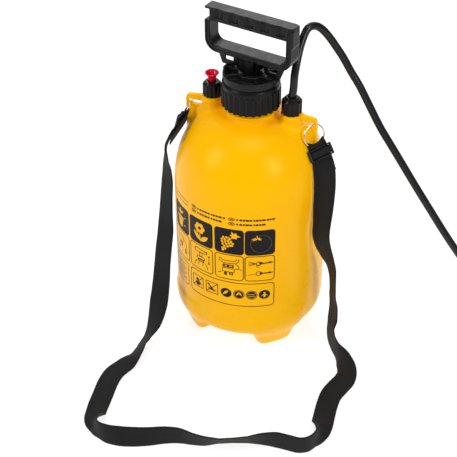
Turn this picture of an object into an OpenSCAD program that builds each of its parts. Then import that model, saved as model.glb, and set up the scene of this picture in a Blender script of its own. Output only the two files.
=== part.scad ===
// Hand-pumped shoulder-strap pressure sprayer, about 5 litres.
// Origin: centre of the tank's foot circle on the ground. +Z up, the two strap
// ears lie along X, -Y is the printed front of the tank. Units are millimetres.

/* [Tank] */
// Outside radius of the cylindrical wall
tank_r = 90; // [90:1:90]
// Height where the dome begins
dome_z = 184; // [184:1:184]
// Height where the dome meets the neck
neck_z = 287; // [287:1:287]
// Wall thickness of the blown tank
wall = 2.5; // [2:0.5:3]
// Radius of the thread crest on the neck
thread_r = 30; // [29.5:0.5:30]
// Thickness of the strap ears
ear_t = 4; // [3:0.5:4]

/* [Pump] */
// Outside radius of the cap nut
cap_r = 34; // [33:0.5:35]
// Outside radius of the pump head collar
head_r = 32; // [31:0.5:32]
// Inside radius of the pump barrel
barrel_r = 15; // [15:1:15]
// Pump stroke
stroke = 200; // [150:10:200]
// Radius of the pump rod
rod_r = 6; // [6:1:6]
// Turn of the handle about the pump axis, seen from above
handle_yaw = -10; // [-20:5:0]

/* [Strap] */
// Width of the webbing
strap_w = 25; // [25:1:25]
// Thickness of the webbing
strap_t = 1.5; // [1.2:0.1:1.6]
// Radius of the wire of the rings
wire_r = 0.9; // [0.8:0.1:1]
// Middle radius of the rings
ring_r = 13; // [13:1:13]

/* [Hose and wand] */
// Outside diameter of the hose
hose_d = 9; // [8:1:9]
// Radius of the stored coil, to the middle of the hose
coil_r = 50; // [45:5:50]
// Visible length of the lance tube
lance_len = 270; // [200:10:300]

/* [Hidden] */
$fn = 64;

YEL = [1.0, 0.68, 0.0];
BLK = [0.10, 0.10, 0.11];
GRY = [0.35, 0.35, 0.37];
RED = [0.85, 0.0, 0.13];
STL = [0.75, 0.75, 0.77];

// ---- vector helpers ----
function unit(v) = v / norm(v);
function perp(a, b) = unit(a - (a * b) * b);

// ================= tank =================
// dome profile: super-ellipse from the wall down to the neck
function dome_r(z, rn, rw, z1) = rn + (rw - rn) *
    pow(max(0, 1 - pow((z - dome_z) / (z1 - dome_z), 2.55)), 1 / 2.1);
function dome_pts(rn, rw, z1) = [for (i = [0 : 14])
    let (t = sin(i * 90 / 14), z = dome_z + (z1 - dome_z) * t) [dome_r(z, rn, rw, z1), z]];

boss_x = 48;
boss_y = 2;

module tank_outer() {
  rotate_extrude()
    polygon(concat([[0, 20], [70, 20], [78, 21.5], [84, 24.5], [87.8, 29], [89.6, 37], [tank_r, 46]],
      dome_pts(27, tank_r, neck_z), [[0, neck_z]]));
  // neck with a bead below the nut
  translate([0, 0, 270]) cylinder(r = 28.6, h = 56);
  translate([0, 0, 295]) cylinder(r = 31.5, h = 2.5);
}

// one foot, grown from a ring section and trimmed to a tapering sector
module foot_solid(g) {
  intersection() {
    rotate_extrude()
      polygon([[50 + g, g], [77 - g, g], [79.5 - g, 3 + g / 2], [89.6 - g, 40], [89.6 - g, 50], [46 + g, 50], [46 + g, 24]]);
    rotate([90, 0, 90]) linear_extrude(100)
      polygon([[-20 + g, 0], [20 - g, 0], [31 - g, 34], [31 - g, 60], [-31 + g, 60], [-31 + g, 34]]);
  }
}

module ear(s) {
  // flat ear with a rounded top corner and a slot for the ring
  scale([1, 1, 1]) translate([0, ear_t / 2, 0]) rotate([90, 0, 0]) linear_extrude(ear_t)
    difference() {
      union() {
        polygon([[s * 30, 240], [s * 79.5, 252], [s * 79.5, 291], [s * 73.5, 297], [s * 58, 298.5], [s * 40, 292], [s * 28, 284]]);
        translate([s * 73.5, 291]) circle(r = 6);
      }
      translate([s * 67.7, 287.5]) square([17.4, 5], center = true);
    }
}

module boss(s, top) {
  translate([s * boss_x, boss_y, 0]) {
    translate([0, 0, 262]) cylinder(r = 16, h = 14);
    translate([0, 0, 276]) cylinder(r1 = 16, r2 = 12, h = 9);
    translate([0, 0, 262]) cylinder(r = 12, h = top - 262);
    translate([0, 0, 262]) cylinder(r = 8.5, h = top + 8.5 - 262);
  }
}

// the blown tank without its ears
module tank_blown() {
  difference() {
    union() {
      tank_outer();
      for (a = [45 : 90 : 315]) rotate([0, 0, a]) foot_solid(0);
      // round pad in the middle of the base
      cylinder(r1 = 12, r2 = 15, h = 21);
      boss(-1, 299.5);
      boss(1, 296.5);
      // thread ridges of the neck
      for (k = [0 : 3]) translate([0, 0, 302 + 5.5 * k])
        rotate_extrude() polygon([[28, -1.8], [thread_r, -0.6], [thread_r, 0.6], [28, 1.8]]);
    }
    // hollow inside
    rotate_extrude()
      polygon(concat([[0, 22.5], [69.5, 22.5], [77, 24], [82, 27], [85.4, 31], [87.1, 38], [tank_r - wall, 46.5]],
        dome_pts(25, tank_r - wall, neck_z - wall), [[0, neck_z - wall]]));
    for (a = [45 : 90 : 315]) rotate([0, 0, a]) foot_solid(wall);
    translate([0, 0, 270]) cylinder(r = 25, h = 60);
    // bores of the two bosses
    for (s = [-1, 1]) translate([s * boss_x, boss_y, 255]) cylinder(r = 5, h = 60);
  }
}

// The tank is one moulding. It is given as level bands and the two ears, which
// meet face to face, so that each hollow and slot stays open to collision.
module band(z0, z1) {
  intersection() {
    tank_blown();
    translate([-120, -120, z0]) cube([240, 240, z1 - z0]);
  }
}
module tank_feet() { color(YEL) band(-1, 20); }
module tank_wall() { color(YEL) band(20, dome_z); }
module tank_dome() { color(YEL) band(dome_z, 262); }
module tank_shoulder() {
  color(YEL) difference() {
    band(262, 330);
    translate([0, 0, neck_z]) cylinder(r = 33, h = 60);
  }
}
module tank_neck() {
  color(YEL) intersection() {
    band(neck_z, 330);
    cylinder(r = 33, h = 400);
  }
}
module ear_piece(s, top) {
  color(YEL) difference() {
    ear(s);
    tank_outer();
    boss(s, top);
    // room for the nut's skirt
    translate([s * boss_x, boss_y, top]) cylinder(r = 12.4, h = 8);
  }
}
module ear_left() { ear_piece(-1, 299.5); }
module ear_right() { ear_piece(1, 296.5); }

// ================= relief valve =================
module ribbed(r, h, n, rib) {
  linear_extrude(h) union() {
    circle(r = r - rib * 0.6);
    for (i = [0 : n - 1]) rotate(i * 360 / n) translate([r - rib, 0]) circle(r = rib, $fn = 24);
  }
}

module relief_nut() {
  color(BLK) translate([-boss_x, boss_y, 0]) difference() {
    union() {
      translate([0, 0, 300]) ribbed(11, 14.5, 14, 1.3);
      translate([0, 0, 314.5]) cylinder(r1 = 10.2, r2 = 8.6, h = 2.5);
    }
    translate([0, 0, 299]) cylinder(r = 8.9, h = 12.8);
    translate([0, 0, 311]) cylinder(r = 4.6, h = 7);
  }
}
module relief_seal() {
  color(GRY) translate([-boss_x, boss_y, 308]) difference() {
    cylinder(r = 8.3, h = 1.5);
    translate([0, 0, -1]) cylinder(r = 5.0, h = 4);
  }
}
module relief_body() {
  color(BLK) translate([-boss_x, boss_y, 0]) difference() {
    union() {
      translate([0, 0, 309.5]) cylinder(r = 8.3, h = 2);
      translate([0, 0, 289]) cylinder(r = 4.9, h = 20.5);
    }
    translate([0, 0, 293]) cylinder(r = 4.2, h = 16);
    translate([0, 0, 285]) cylinder(r = 1.5, h = 10);
    translate([0, 0, 300]) cylinder(r = 2.06, h = 20);
  }
}
module relief_pad() {
  color(GRY) translate([-boss_x, boss_y, 293.05]) cylinder(r = 3.5, h = 1.75);
}
module relief_plunger() {
  color(RED) translate([-boss_x, boss_y, 0]) {
    translate([0, 0, 294.8]) cylinder(r = 3.9, h = 2.2);
    translate([0, 0, 296]) cylinder(r = 2, h = 22);
    rotate_extrude() polygon([[0, 317.3], [3.6, 317.3], [4.2, 320], [6.2, 325], [8.2, 328], [7.2, 328], [5.1, 325], [3.2, 320.8], [0, 320]]);
  }
}
module relief_spring() {
  color(STL) translate([-boss_x, boss_y, 0]) difference() {
    translate([0, 0, 297.1]) cylinder(r = 3.8, h = 11.8);
    translate([0, 0, 296]) cylinder(r = 2.5, h = 14);
  }
}

// ================= outlet =================
module outlet_nut() {
  color(BLK) translate([boss_x, boss_y, 0]) difference() {
    union() {
      translate([0, 0, 296.8]) ribbed(11.7, 16.2, 12, 1.5);
      translate([0, 0, 313]) cylinder(r1 = 11, r2 = 9.4, h = 2);
      translate([0, 0, 315]) cylinder(r = 7.6, h = 2.4);
    }
    translate([0, 0, 296]) cylinder(r = 8.9, h = 13);
    translate([0, 0, 305]) cylinder(r = 4.7, h = 20);
  }
}
module outlet_seal() {
  color(GRY) translate([boss_x, boss_y, 305]) difference() {
    cylinder(r = 8.3, h = 1.5);
    translate([0, 0, -1]) cylinder(r = 4.65, h = 4);
  }
}
module outlet_fitting() {
  color(BLK) translate([boss_x, boss_y, 0]) difference() {
    union() {
      translate([0, 0, 306.5]) cylinder(r = 8.3, h = 2.5);
      translate([0, 0, 285]) cylinder(r = 4.6, h = 22);
      translate([0, 0, 308]) cylinder(r = 4.5, h = 10);
    }
    translate([0, 0, 284]) cylinder(r = 4, h = 8);
    translate([0, 0, 284]) cylinder(r = 2.2, h = 40);
  }
}
module dip_tube() {
  color(GRY) translate([boss_x, boss_y, 0]) difference() {
    translate([0, 0, 34]) cylinder(r = 4, h = 258);
    translate([0, 0, 30]) cylinder(r = 3, h = 270);
  }
}
module strainer() {
  color(GRY) translate([boss_x, boss_y, 0]) difference() {
    translate([0, 0, 25]) cylinder(r = 8, h = 15);
    translate([0, 0, 34]) cylinder(r = 4, h = 10);
    translate([0, 0, 28]) cylinder(r = 3, h = 10);
    for (a = [0 : 45 : 315]) rotate([0, 0, a]) translate([3, -1, 26.5]) cube([10, 2, 5]);
  }
}

// ================= cap nut =================
module cap_nut() {
  color(BLK) difference() {
    union() {
      translate([0, 0, 301]) linear_extrude(24) difference() {
        circle(r = cap_r);
        for (i = [0 : 27]) rotate((i + 0.5) * 360 / 28) translate([cap_r + 1.1, 0]) circle(r = 2.6, $fn = 24);
      }
      translate([0, 0, 325]) cylinder(r = cap_r - 1.1, h = 4);
      translate([0, 0, 329]) cylinder(r1 = cap_r - 1.1, r2 = cap_r - 3.5, h = 2.5);
    }
    translate([0, 0, 300]) cylinder(r = 30.4, h = 29.7);
    translate([0, 0, 320]) cylinder(r = 27, h = 20);
  }
}

// ================= pump head and barrel =================
module pump_head() {
  color(BLK) {
    difference() {
      union() {
        translate([0, 0, 331.8]) cylinder(r = head_r, h = 8.7);
        // two locking lugs
        for (a = [handle_yaw, handle_yaw + 180]) rotate([0, 0, a])
          rotate([90, 0, 0]) translate([0, 0, -4.25]) linear_extrude(8.5)
            polygon([[20, 332], [34.5, 332], [34.5, 338], [32.5, 340.6], [26, 340.6], [20, 337]]);
      }
      // dished top
      difference() {
        translate([0, 0, 337]) cylinder(r = 29, h = 8);
        translate([0, 0, 336]) cylinder(r = 16, h = 10);
        for (a = [handle_yaw, handle_yaw + 180]) rotate([0, 0, a])
          translate([14, -4.25, 330]) cube([22, 8.5, 10.6]);
      }
      // bayonet well
      translate([0, 0, 333.5]) cylinder(r = 13.2, h = 4.5);
      translate([0, 0, 333.5]) cylinder(r = 9.6, h = 10);
      intersection() {
        translate([0, 0, 337]) cylinder(r = 13.2, h = 8);
        rotate([0, 0, handle_yaw]) linear_extrude(400)
          polygon([[0, 0], [8, 20], [-8, 20], [0, 0], [8, -20], [-8, -20]]);
      }
      translate([0, 0, 320]) cylinder(r = rod_r + 0.05, h = 30);
    }
  }
}
module pump_cylinder() {
  color(GRY) difference() {
    union() {
      translate([0, 0, 95]) cylinder(r = barrel_r + 2, h = 234);
      translate([0, 0, 327]) cylinder(r = 29.8, h = 2.5);
      translate([0, 0, 327]) cylinder(r = 24, h = 4.8);
    }
    translate([0, 0, 99]) cylinder(r = barrel_r, h = 240);
    // air holes and the valve's stem hole in the floor
    for (a = [0 : 60 : 300]) rotate([0, 0, a]) translate([6.5, 0, 90]) cylinder(r = 1.4, h = 12);
    translate([0, 0, 90]) cylinder(r = 2, h = 12);
  }
}
module neck_seal() {
  color(GRY) translate([0, 0, 326]) difference() {
    cylinder(r = 29.6, h = 1);
    translate([0, 0, -1]) cylinder(r = 25.4, h = 3);
  }
}
module check_valve() {
  color(GRY) {
    translate([0, 0, 93]) cylinder(r = 9.5, h = 2);
    translate([0, 0, 94]) cylinder(r = 2, h = 6);
    translate([0, 0, 99]) cylinder(r = 3.2, h = 2);
  }
}

// ================= piston and rod =================
module piston() {
  color(BLK) difference() {
    union() {
      translate([0, 0, 104]) cylinder(r = 14.9, h = 4);
      translate([0, 0, 108]) cylinder(r = 12.4, h = 3);
      translate([0, 0, 111]) cylinder(r = 14.9, h = 4);
    }
    translate([0, 0, 100]) cylinder(r = 4.05, h = 20);
  }
}
module piston_ring() {
  color(GRY) translate([0, 0, 108]) difference() {
    cylinder(r = 14.95, h = 3);
    translate([0, 0, -1]) cylinder(r = 12.4, h = 5);
  }
}
module pump_rod() {
  color(GRY) difference() {
    union() {
      translate([0, 0, 115.2]) cylinder(r = rod_r, h = 241.8);
      translate([0, 0, 101.6]) cylinder(r = 4, h = 14);
    }
    translate([0, 0, 352]) rotate([90, 0, handle_yaw]) cylinder(r = 1.5, h = 40, center = true);
  }
}
module rod_clip() {
  color(STL) translate([0, 0, 102.2]) difference() {
    cylinder(r = 6.5, h = 1.2);
    translate([0, 0, -1]) cylinder(r = 4, h = 4);
  }
}

// ================= handle =================
module plate(v0, v1) { translate([0, v1, 0]) rotate([90, 0, 0]) linear_extrude(v1 - v0) children(); }

module frame_outline(g) {
  // rounded bottom corners, square top
  translate([-54.5 + g, 372.2]) square([109 - 2 * g, 35]);
  translate([-39.5, 357.2 + g * 1.15]) square([79, 40]);
  for (s = [-1, 1]) translate([s * 39.5, 372.2]) circle(r = 15 - g);
}
module pump_handle() {
  color(BLK) rotate([0, 0, handle_yaw]) difference() {
    union() {
      // lower frame with deep rims
      plate(-10, 10) difference() {
        frame_outline(0);
        translate([-48, 373.7]) square([96, 40]);
        translate([-39, 364.7]) square([78, 20]);
        for (s = [-1, 1]) translate([s * 39, 373.7]) circle(r = 9);
        // open notch at the left end
        translate([-60, 394.5]) square([12, 20]);
      }
      // grip bar
      plate(-7, 7) translate([-49, 392.6]) square([103.5, 15]);
      // thin top plate with rounded right end
      plate(-8, 7.5) translate([-55, 407.2]) square([111, 2.3]);
      // right post closed up to the plate
      plate(-9, 9) translate([48, 385]) square([7.5, 22.5]);
      // two hooks
      plate(-1.3, 1.3) difference() {
        polygon([[-44, 358], [-37, 341], [-21, 341], [-17, 344], [-17, 358]]);
        translate([-33, 346.6]) square([10.5, 6]);
      }
      plate(-1.3, 1.3) difference() {
        polygon([[44, 358], [37, 341], [21, 341], [17, 344], [17, 358]]);
        translate([22.5, 346.6]) square([10.5, 6]);
      }
      // stem with four ribs
      translate([0, 0, 334]) cylinder(r = 8.8, h = 24);
      for (a = [45 : 90 : 315]) rotate([0, 0, a]) plate(-1.2, 1.2)
        polygon([[0, 341], [12, 341], [17, 348], [17, 358], [0, 358]]);
      // bayonet dogs
      intersection() {
        translate([0, 0, 334]) cylinder(r = 12.6, h = 3.6);
        linear_extrude(400) polygon([[0, 0], [5.4, 20], [-5.4, 20], [0, 0], [5.4, -20], [-5.4, -20]]);
      }
    }
    // socket of the rod
    translate([0, 0, 330]) cylinder(r = rod_r, h = 27);
    // cross hole of the pin
    translate([0, 0, 352]) rotate([90, 0, 0]) cylinder(r = 1.5, h = 40, center = true);
    // finger scallops under the front of the grip
    for (u = [-38, -18.5, 1, 20.5, 40]) translate([u, -12, 397]) cylinder(r = 9, h = 9.4);
  }
}
module handle_pin() {
  color(STL) rotate([0, 0, handle_yaw]) translate([0, 0, 352]) rotate([90, 0, 0]) cylinder(r = 1.5, h = 17, center = true);
}

// ================= rings and sliders =================
// each strap end: ring centre, outward normal, width direction
LC = [-77.5, 1, 274.8];
LN = unit([-0.94, -0.11, 0.32]);
LW = perp([0.4, -0.4, 0.83], LN);
LD = cross(LW, LN) * (cross(LW, LN)[2] < 0 ? 1 : -1);
RC = [76.7, -1.5, 274.6];
RN = unit([0.75, -0.60, 0.28]);
RW = perp([-0.59, -0.80, -0.13], RN);
RD = cross(RW, RN) * (cross(RW, RN)[2] < 0 ? 1 : -1);
// the slider hangs from the lowest point of the ring, leaning outward a little
function lean(d, n, b) = cos(b) * d + sin(b) * n;
LD2 = lean(LD, LN, 10);
LN2 = lean(LN, -LD, 10);
RD2 = lean(RD, RN, 18);
RN2 = lean(RN, -RD, 18);

module place(c, x, y, z) {
  multmatrix([[x[0], y[0], z[0], c[0]], [x[1], y[1], z[1], c[1]], [x[2], y[2], z[2], c[2]], [0, 0, 0, 1]]) children();
}
module ring() { rotate_extrude() translate([ring_r, 0]) rotate(15) circle(r = wire_r, $fn = 12); }
module ring_left() { color(STL) place(LC, LW, cross(LN, LW), LN) ring(); }
module ring_right() { color(STL) place(RC, RW, cross(RN, RW), RN) ring(); }

// three-bar slider, local x across the strap, y down the strap, z outward
module slider() {
  difference() {
    union() {
      translate([-15.5, 1.6, 1.3]) cube([31, 13.8, 2.6]);
      for (s = [-1, 1]) translate([s * 13.5, 2.6, 1.0]) translate([-2, 0, 0]) cube([4, 11.8, 3.2]);
    }
    translate([-13, 3.3, 0]) cube([26, 4.3, 8]);
    translate([-13, 9.4, 0]) cube([26, 4.3, 8]);
  }
}
module slider_left() {
  color(BLK) place(LC + ring_r * LD, cross(LD2, LN2), LD2, LN2) slider();
}
module slider_right() {
  color(BLK) place(RC + ring_r * RD, cross(RD2, RN2), RD2, RN2) slider();
}

// ================= strap =================
// A station is [centre, width direction, half width, curl, curl direction].
// Loop through a ring and its slider, from the free tail to the running strap.
function loop_pts(c, w, d, n, d2, n2) =
  let (b = c + ring_r * d)
  concat(
    [for (r = [[34, -3.2], [22, -2.9], [12, -2.6], [5, -2.4]]) [b + r[0] * d2 + r[1] * n2, w, strap_w / 2, 0, d2]],
    [[b + 1.5 * d2 - 2.2 * n2, w, 11.5, 2.6, d2]],
    [for (r = [[-0.8, -2.15], [-2.2, -1.6], [-2.9, 0], [-2.2, 1.6], [-0.8, 2.15]]) [b + r[0] * d + r[1] * n, w, 10, 4.6, d]],
    [[b + 1.4 * d2 + 2.0 * n2, w, 11.5, 2.6, d2]],
    [for (r = [[3.4, 0.3], [7.2, 4.8], [9.8, 4.8], [13.6, 0.3], [18, 0]]) [b + r[0] * d2 + r[1] * n2, w, strap_w / 2, 0, d2]]);

// Route of the running strap between the sliders: x, y, z, then the width direction.
STRAP = [
  [-92, -26, 243, 0.3, -0.8, 0.5], [-96, -25, 232, 0.4, -0.7, 0.6], [-97, -24, 218, 0.4, -0.6, 0.6],
  [-96, -26, 205, 0.6, -0.5, 0.6], [-94, -31, 190, 0.7, -0.4, 0.5], [-93, -37, 172, 0.8, -0.4, 0.5],
  [-91, -45, 152, 0.8, -0.3, 0.5], [-89, -53, 131, 0.9, -0.2, 0.4], [-88, -62, 112, 0.9, -0.2, 0.3],
  [-87, -70, 94, 0.9, -0.2, 0.3], [-85, -80, 74, 0.9, -0.1, 0.3], [-84, -92, 50, 0.9, 0, 0.3],
  [-86, -105, 25, 0.8, -0.3, 0.4], [-89, -117, 14, 0.6, -0.6, 0.5], [-92, -130, 9, 0.5, -0.7, 0.5],
  [-93, -145, 6.5, 0.6, -0.7, 0.4], [-98, -160, 3, 0.9, -0.2, 0.1], [-105, -178, 2, 0.9, -0.3, 0],
  [-105, -196, 2, 1, 0, 0], [-102, -214, 2, 1, 0, 0], [-99, -232, 2, 1, 0, 0],
  [-95, -249, 3, 0.9, -0.2, 0.2], [-88, -264, 9, 0.6, -0.3, 0.7], [-79, -275, 12, 0.3, -0.1, 0.9],
  [-66, -279, 13, 0.1, 0.2, 1], [-50, -277, 13, 0, 0.3, 0.9], [-34, -272, 13, 0, 0.3, 1],
  [-18, -265, 13, 0, 0.2, 1], [-3, -257, 13, 0, 0.1, 1], [12, -252, 13, 0.1, 0, 1],
  [28, -251, 13, 0.1, -0.2, 1], [42, -249, 13, 0.1, -0.3, 0.9], [55, -243, 12, 0.2, -0.5, 0.9],
  [70, -236, 12, 0.2, -0.5, 0.9], [85, -229, 12, 0.2, -0.4, 0.9], [100, -223, 13, 0.1, -0.2, 1],
  [115, -219, 13.5, 0.1, 0, 1], [130, -218, 13.5, 0.1, 0, 1], [142, -217, 13.5, 0.1, 0, 1],
  [151, -210, 13, 0, 0, 1], [155, -199, 12.5, -0.1, -0.3, 1], [155, -186, 10, -0.4, -0.5, 0.7],
  [153, -170, 5, -0.8, -0.4, 0.3], [150, -152, 2, -1, -0.2, 0], [148, -136, 2, -1, -0.1, 0],
  [148, -121, 4, -1, 0, 0.1], [152, -107, 5.5, -1, 0, 0.1], [156, -94, 7, -1, -0.1, 0],
  [154, -81, 10, -0.9, 0.2, -0.3], [145, -69, 14, -0.8, 0.4, -0.4], [134, -58, 16, -0.6, 0.6, -0.5],
  [125, -47, 18, -0.5, 0.6, -0.6], [119, -36, 23, -0.5, 0.6, -0.6], [118, -27, 34, -0.6, 0.5, -0.6],
  [117, -22, 50, -0.5, 0.6, -0.6], [115, -22, 70, -0.4, 0.7, -0.6], [114, -24, 92, -0.4, 0.7, -0.6],
  [112, -27, 112, -0.4, 0.6, -0.6], [108, -32, 131, -0.5, 0.5, -0.6], [104, -36, 148, -0.7, 0.4, -0.6],
  [101, -37, 163, -0.8, 0.3, -0.6], [100.5, -35, 179, -0.9, 0.3, -0.4], [100, -31, 197, -0.9, 0.1, -0.3],
  [99.5, -27, 214, -0.9, 0, -0.3], [97.5, -21, 232, -0.9, -0.2, -0.3]];

function rev(a) = [for (i = [len(a) - 1 : -1 : 0]) a[i]];
STATIONS = concat(loop_pts(LC, LW, LD, LN, LD2, LN2),
  [for (r = STRAP) [[r[0], r[1], r[2]], unit([r[3], r[4], r[5]]), strap_w / 2, 0, [0, 0, 1]]],
  rev(loop_pts(RC, RW, RD, RN, RD2, RN2)));

// ribbon of constant thickness swept through stations, m points across
module ribbon(st, t, m) {
  n = len(st);
  tan = [for (i = [0 : n - 1]) unit(st[min(i + 1, n - 1)][0] - st[max(i - 1, 0)][0])];
  wid = [for (i = [0 : n - 1]) perp(st[i][1], tan[i])];
  nor = [for (i = [0 : n - 1]) cross(tan[i], wid[i])];
  pts = [for (i = [0 : n - 1]) each concat(
    [for (k = [0 : m - 1]) let (x = 2 * k / (m - 1) - 1)
      st[i][0] + x * st[i][2] * wid[i] - st[i][3] * x * x * st[i][4] + t / 2 * nor[i]],
    [for (k = [m - 1 : -1 : 0]) let (x = 2 * k / (m - 1) - 1)
      st[i][0] + x * st[i][2] * wid[i] - st[i][3] * x * x * st[i][4] - t / 2 * nor[i]])];
  q = 2 * m;
  side = [for (i = [0 : n - 2]) for (k = [0 : q - 1]) let (a = i * q + k, b = i * q + (k + 1) % q)
    each [[a, b, b + q], [a, b + q, a + q]]];
  cap0 = [for (k = [0 : m - 2]) each [[k, q - 1 - k, k + 1], [q - 1 - k, q - 2 - k, k + 1]]];
  o = (n - 1) * q;
  cap1 = [for (k = [0 : m - 2]) each [[o + k, o + k + 1, o + q - 1 - k], [o + q - 1 - k, o + k + 1, o + q - 2 - k]]];
  polyhedron(points = pts, faces = concat(side, cap0, cap1), convexity = 8);
}
module strap() { color([0.14, 0.14, 0.14]) ribbon(STATIONS, strap_t, 5); }

// ================= hose =================
HOSE = [[48, 2, 318], [49.3, 2, 327], [49.5, 4, 344], [49.7, 10, 357], [50, 18, 370],
  [51.4, 26, 381], [54, 32, 388], [58.7, 38, 389], [64.7, 43, 385], [72.7, 46, 376],
  [82, 48, 363], [91, 49, 350], [100, 50, 334.5], [110.6, 50, 319], [120.4, 50, 302],
  [138.5, 50, 270], [152, 50, 250], [165, 50, 231], [186, 50, 200], [207, 50, 170],
  [226, 51, 142], [245, 53, 115], [262, 58, 90], [279, 66, 66], [296, 77, 46],
  [314, 90, 30], [332, 102, 19], [345, 108, 14.5], [352, 110, 13.5]];
COIL_C = [352, 60];
TAIL = [[402, 60, 4.5], [402, 52, 4.5], [402, 40, 5], [402, 28, 6.6], [402, 16, 9], [402, 5, 11], [402, -6, 12.4], [402, -14, 12.5]];

// tube along a list of points, 8 sides
module tube(p, r, t0, t1) {
  n = len(p);
  m = 8;
  tan = [for (i = [0 : n - 1]) i == 0 ? t0 : i == n - 1 ? t1 : unit(unit(p[i + 1] - p[i]) + unit(p[i] - p[i - 1]))];
  // side vector carried along the route
  function fwd(i, s) = i == n ? [] : let (v = perp(s, tan[i])) concat([v], fwd(i + 1, v));
  s = fwd(0, [0.31, -0.95, 0.05]);
  pts = [for (i = [0 : n - 1]) for (k = [0 : m - 1]) let (a = (k + 0.5) * 360 / m)
    p[i] + r * (cos(a) * s[i] + sin(a) * cross(tan[i], s[i]))];
  faces = concat([[for (k = [m - 1 : -1 : 0]) k]],
    [for (i = [0 : n - 2]) for (k = [0 : m - 1]) let (a = i * m + k, b = i * m + (k + 1) % m) each [[a, b, b + m], [a, b + m, a + m]]],
    [[for (k = [0 : m - 1]) (n - 1) * m + k]]);
  rotate([0, 0, 0]) polyhedron(points = pts, faces = [for (f = faces) rev(f)], convexity = 8);
}
module hose_tube() { color(BLK) tube(HOSE, hose_d / 2, [0, 0, 1], [1, 0, 0]); }
module hose_coil() {
  color(BLK) translate([COIL_C[0], COIL_C[1], 0]) rotate_extrude() {
    translate([coil_r - hose_d / 2, 0]) square([hose_d, 2 * hose_d]);
    translate([coil_r - hose_d * 1.5, 0]) square([hose_d * 1.5, hose_d]);
  }
}
module hose_tail() { color(BLK) tube(TAIL, hose_d / 2, [0, -1, 0], [0, -1, 0]); }

// ================= gun =================
// Gun frame: g along the wand (the wand points to -Y), local x = sideways on
// the ground, local z = up off the ground. The gun lies on its side.
GX = 402;
GY = -14;
GZ = 12.5;
module gun() { translate([GX, GY, GZ]) rotate([0, 0, -90]) children(); }

module gun_half(z0, z1) {
  difference() {
    translate([0, 0, z0]) linear_extrude(z1 - z0)
      polygon([[8, -11], [20, -12], [120, -12], [132, -9], [132, 9], [112, 11], [92, 8], [60, 10], [30, 13], [8, 11]]);
    // cavity for hose end, valve and spring
    translate([0, 0, -9]) linear_extrude(18)
      polygon([[20, -9.2], [118, -9.2], [127, -7], [127, 7], [110, 8], [92, 5.2], [60, 7], [30, 10], [20, 9]]);
    // hose entry and outlet mouths
    rotate([0, 90, 0]) cylinder(r = 6.1, h = 30);
    translate([100, 0, 0]) rotate([0, 90, 0]) cylinder(r = 7.1, h = 40);
    // lever slot along the back
    translate([22, -14, -4.5]) cube([104.8, 10, 9]);
    // pocket of the lever's spring
    translate([122, -8.5, -8.7]) cylinder(r = 3.3, h = 5);
    // pin and screw holes
    translate([122, -8.5, -20]) cylinder(r = 1.5, h = 40);
    for (p = [[16, 0], [45, 8.4], [103, 6.8]]) translate([p[0], p[1], -20]) cylinder(r = 1.25, h = 40);
  }
}
module gun_shell_lower() { color(BLK) gun() gun_half(-12.4, 0); }
module gun_shell_upper() { color(BLK) gun() gun_half(0, 12.4); }
module gun_screws() {
  color(STL) gun() for (p = [[45, 8.4], [103, 6.8]]) translate([p[0], p[1], 0]) {
    translate([0, 0, -10]) cylinder(r = 1.25, h = 22.4);
    translate([0, 0, 12.4]) cylinder(r = 2.5, h = 1.2);
  }
}
module gun_lever() {
  color(BLK) gun() difference() {
    union() {
      translate([0, 0, -4.2]) linear_extrude(8.4)
        polygon([[24, -25], [28, -28], [60, -26], [100, -19], [122, -12.6], [122, -9.6], [117, -9.8], [112, -11.6], [100, -14.2], [60, -21], [30, -22.5]]);
      translate([122, -8.5, -4.2]) cylinder(r = 3.4, h = 8.4);
    }
    translate([122, -8.5, -10]) cylinder(r = 1.56, h = 20);
  }
}
module lever_pin() {
  color(STL) gun() translate([122, -8.5, -12.4]) cylinder(r = 1.5, h = 24.8);
}
module gun_valve_body() {
  color(GRY) gun() difference() {
    union() {
      translate([64, 0, 0]) rotate([0, 90, 0]) cylinder(r = 5, h = 78);
      translate([20, 0, 0]) rotate([0, 90, 0]) cylinder(r = 2.6, h = 45);
      translate([127.6, 0, 0]) rotate([0, 90, 0]) cylinder(r = 7, h = 14);
      translate([108, -4, 0]) rotate([90, 0, 0]) cylinder(r = 4, h = 3.5);
    }
    translate([10, 0, 0]) rotate([0, 90, 0]) cylinder(r = 1.6, h = 60);
    translate([68, 0, 0]) rotate([0, 90, 0]) cylinder(r = 3.4, h = 60);
    translate([120, 0, 0]) rotate([0, 90, 0]) cylinder(r = 1.6, h = 60);
    translate([139, 0, 0]) rotate([0, 90, 0]) cylinder(r = 4.5, h = 10);
    translate([108, 0, 0]) rotate([90, 0, 0]) cylinder(r = 1.56, h = 20);
  }
}
module gun_valve_stem() {
  // push stem under the lever, sliding into the valve tube
  color(STL) gun() {
    translate([108, 0.5, 0]) rotate([90, 0, 0]) cylinder(r = 1.5, h = 10.6);
    translate([108, -9.7, 0]) rotate([90, 0, 0]) cylinder(r = 2.4, h = 1);
  }
}
module lever_spring() {
  // torsion spring round the lever's pin
  color(STL) gun() translate([122, -8.5, -8.2]) difference() {
    cylinder(r = 2.8, h = 3.4);
    translate([0, 0, -1]) cylinder(r = 1.8, h = 6);
  }
}
module stem_seal() {
  color(GRY) gun() translate([108, -7.55, 0]) rotate([90, 0, 0]) difference() {
    cylinder(r = 3.4, h = 0.5);
    translate([0, 0, -1]) cylinder(r = 1.6, h = 4);
  }
}
module gun_hose_nut() {
  color(BLK) gun() rotate([0, 90, 0]) difference() {
    union() {
      rotate([0, 0, 0]) ribbed(9.5, 7.6, 12, 1.1);
      translate([0, 0, 7]) cylinder(r = 5.8, h = 12);
    }
    translate([0, 0, -1]) cylinder(r = 2.6, h = 30);
  }
}
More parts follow.
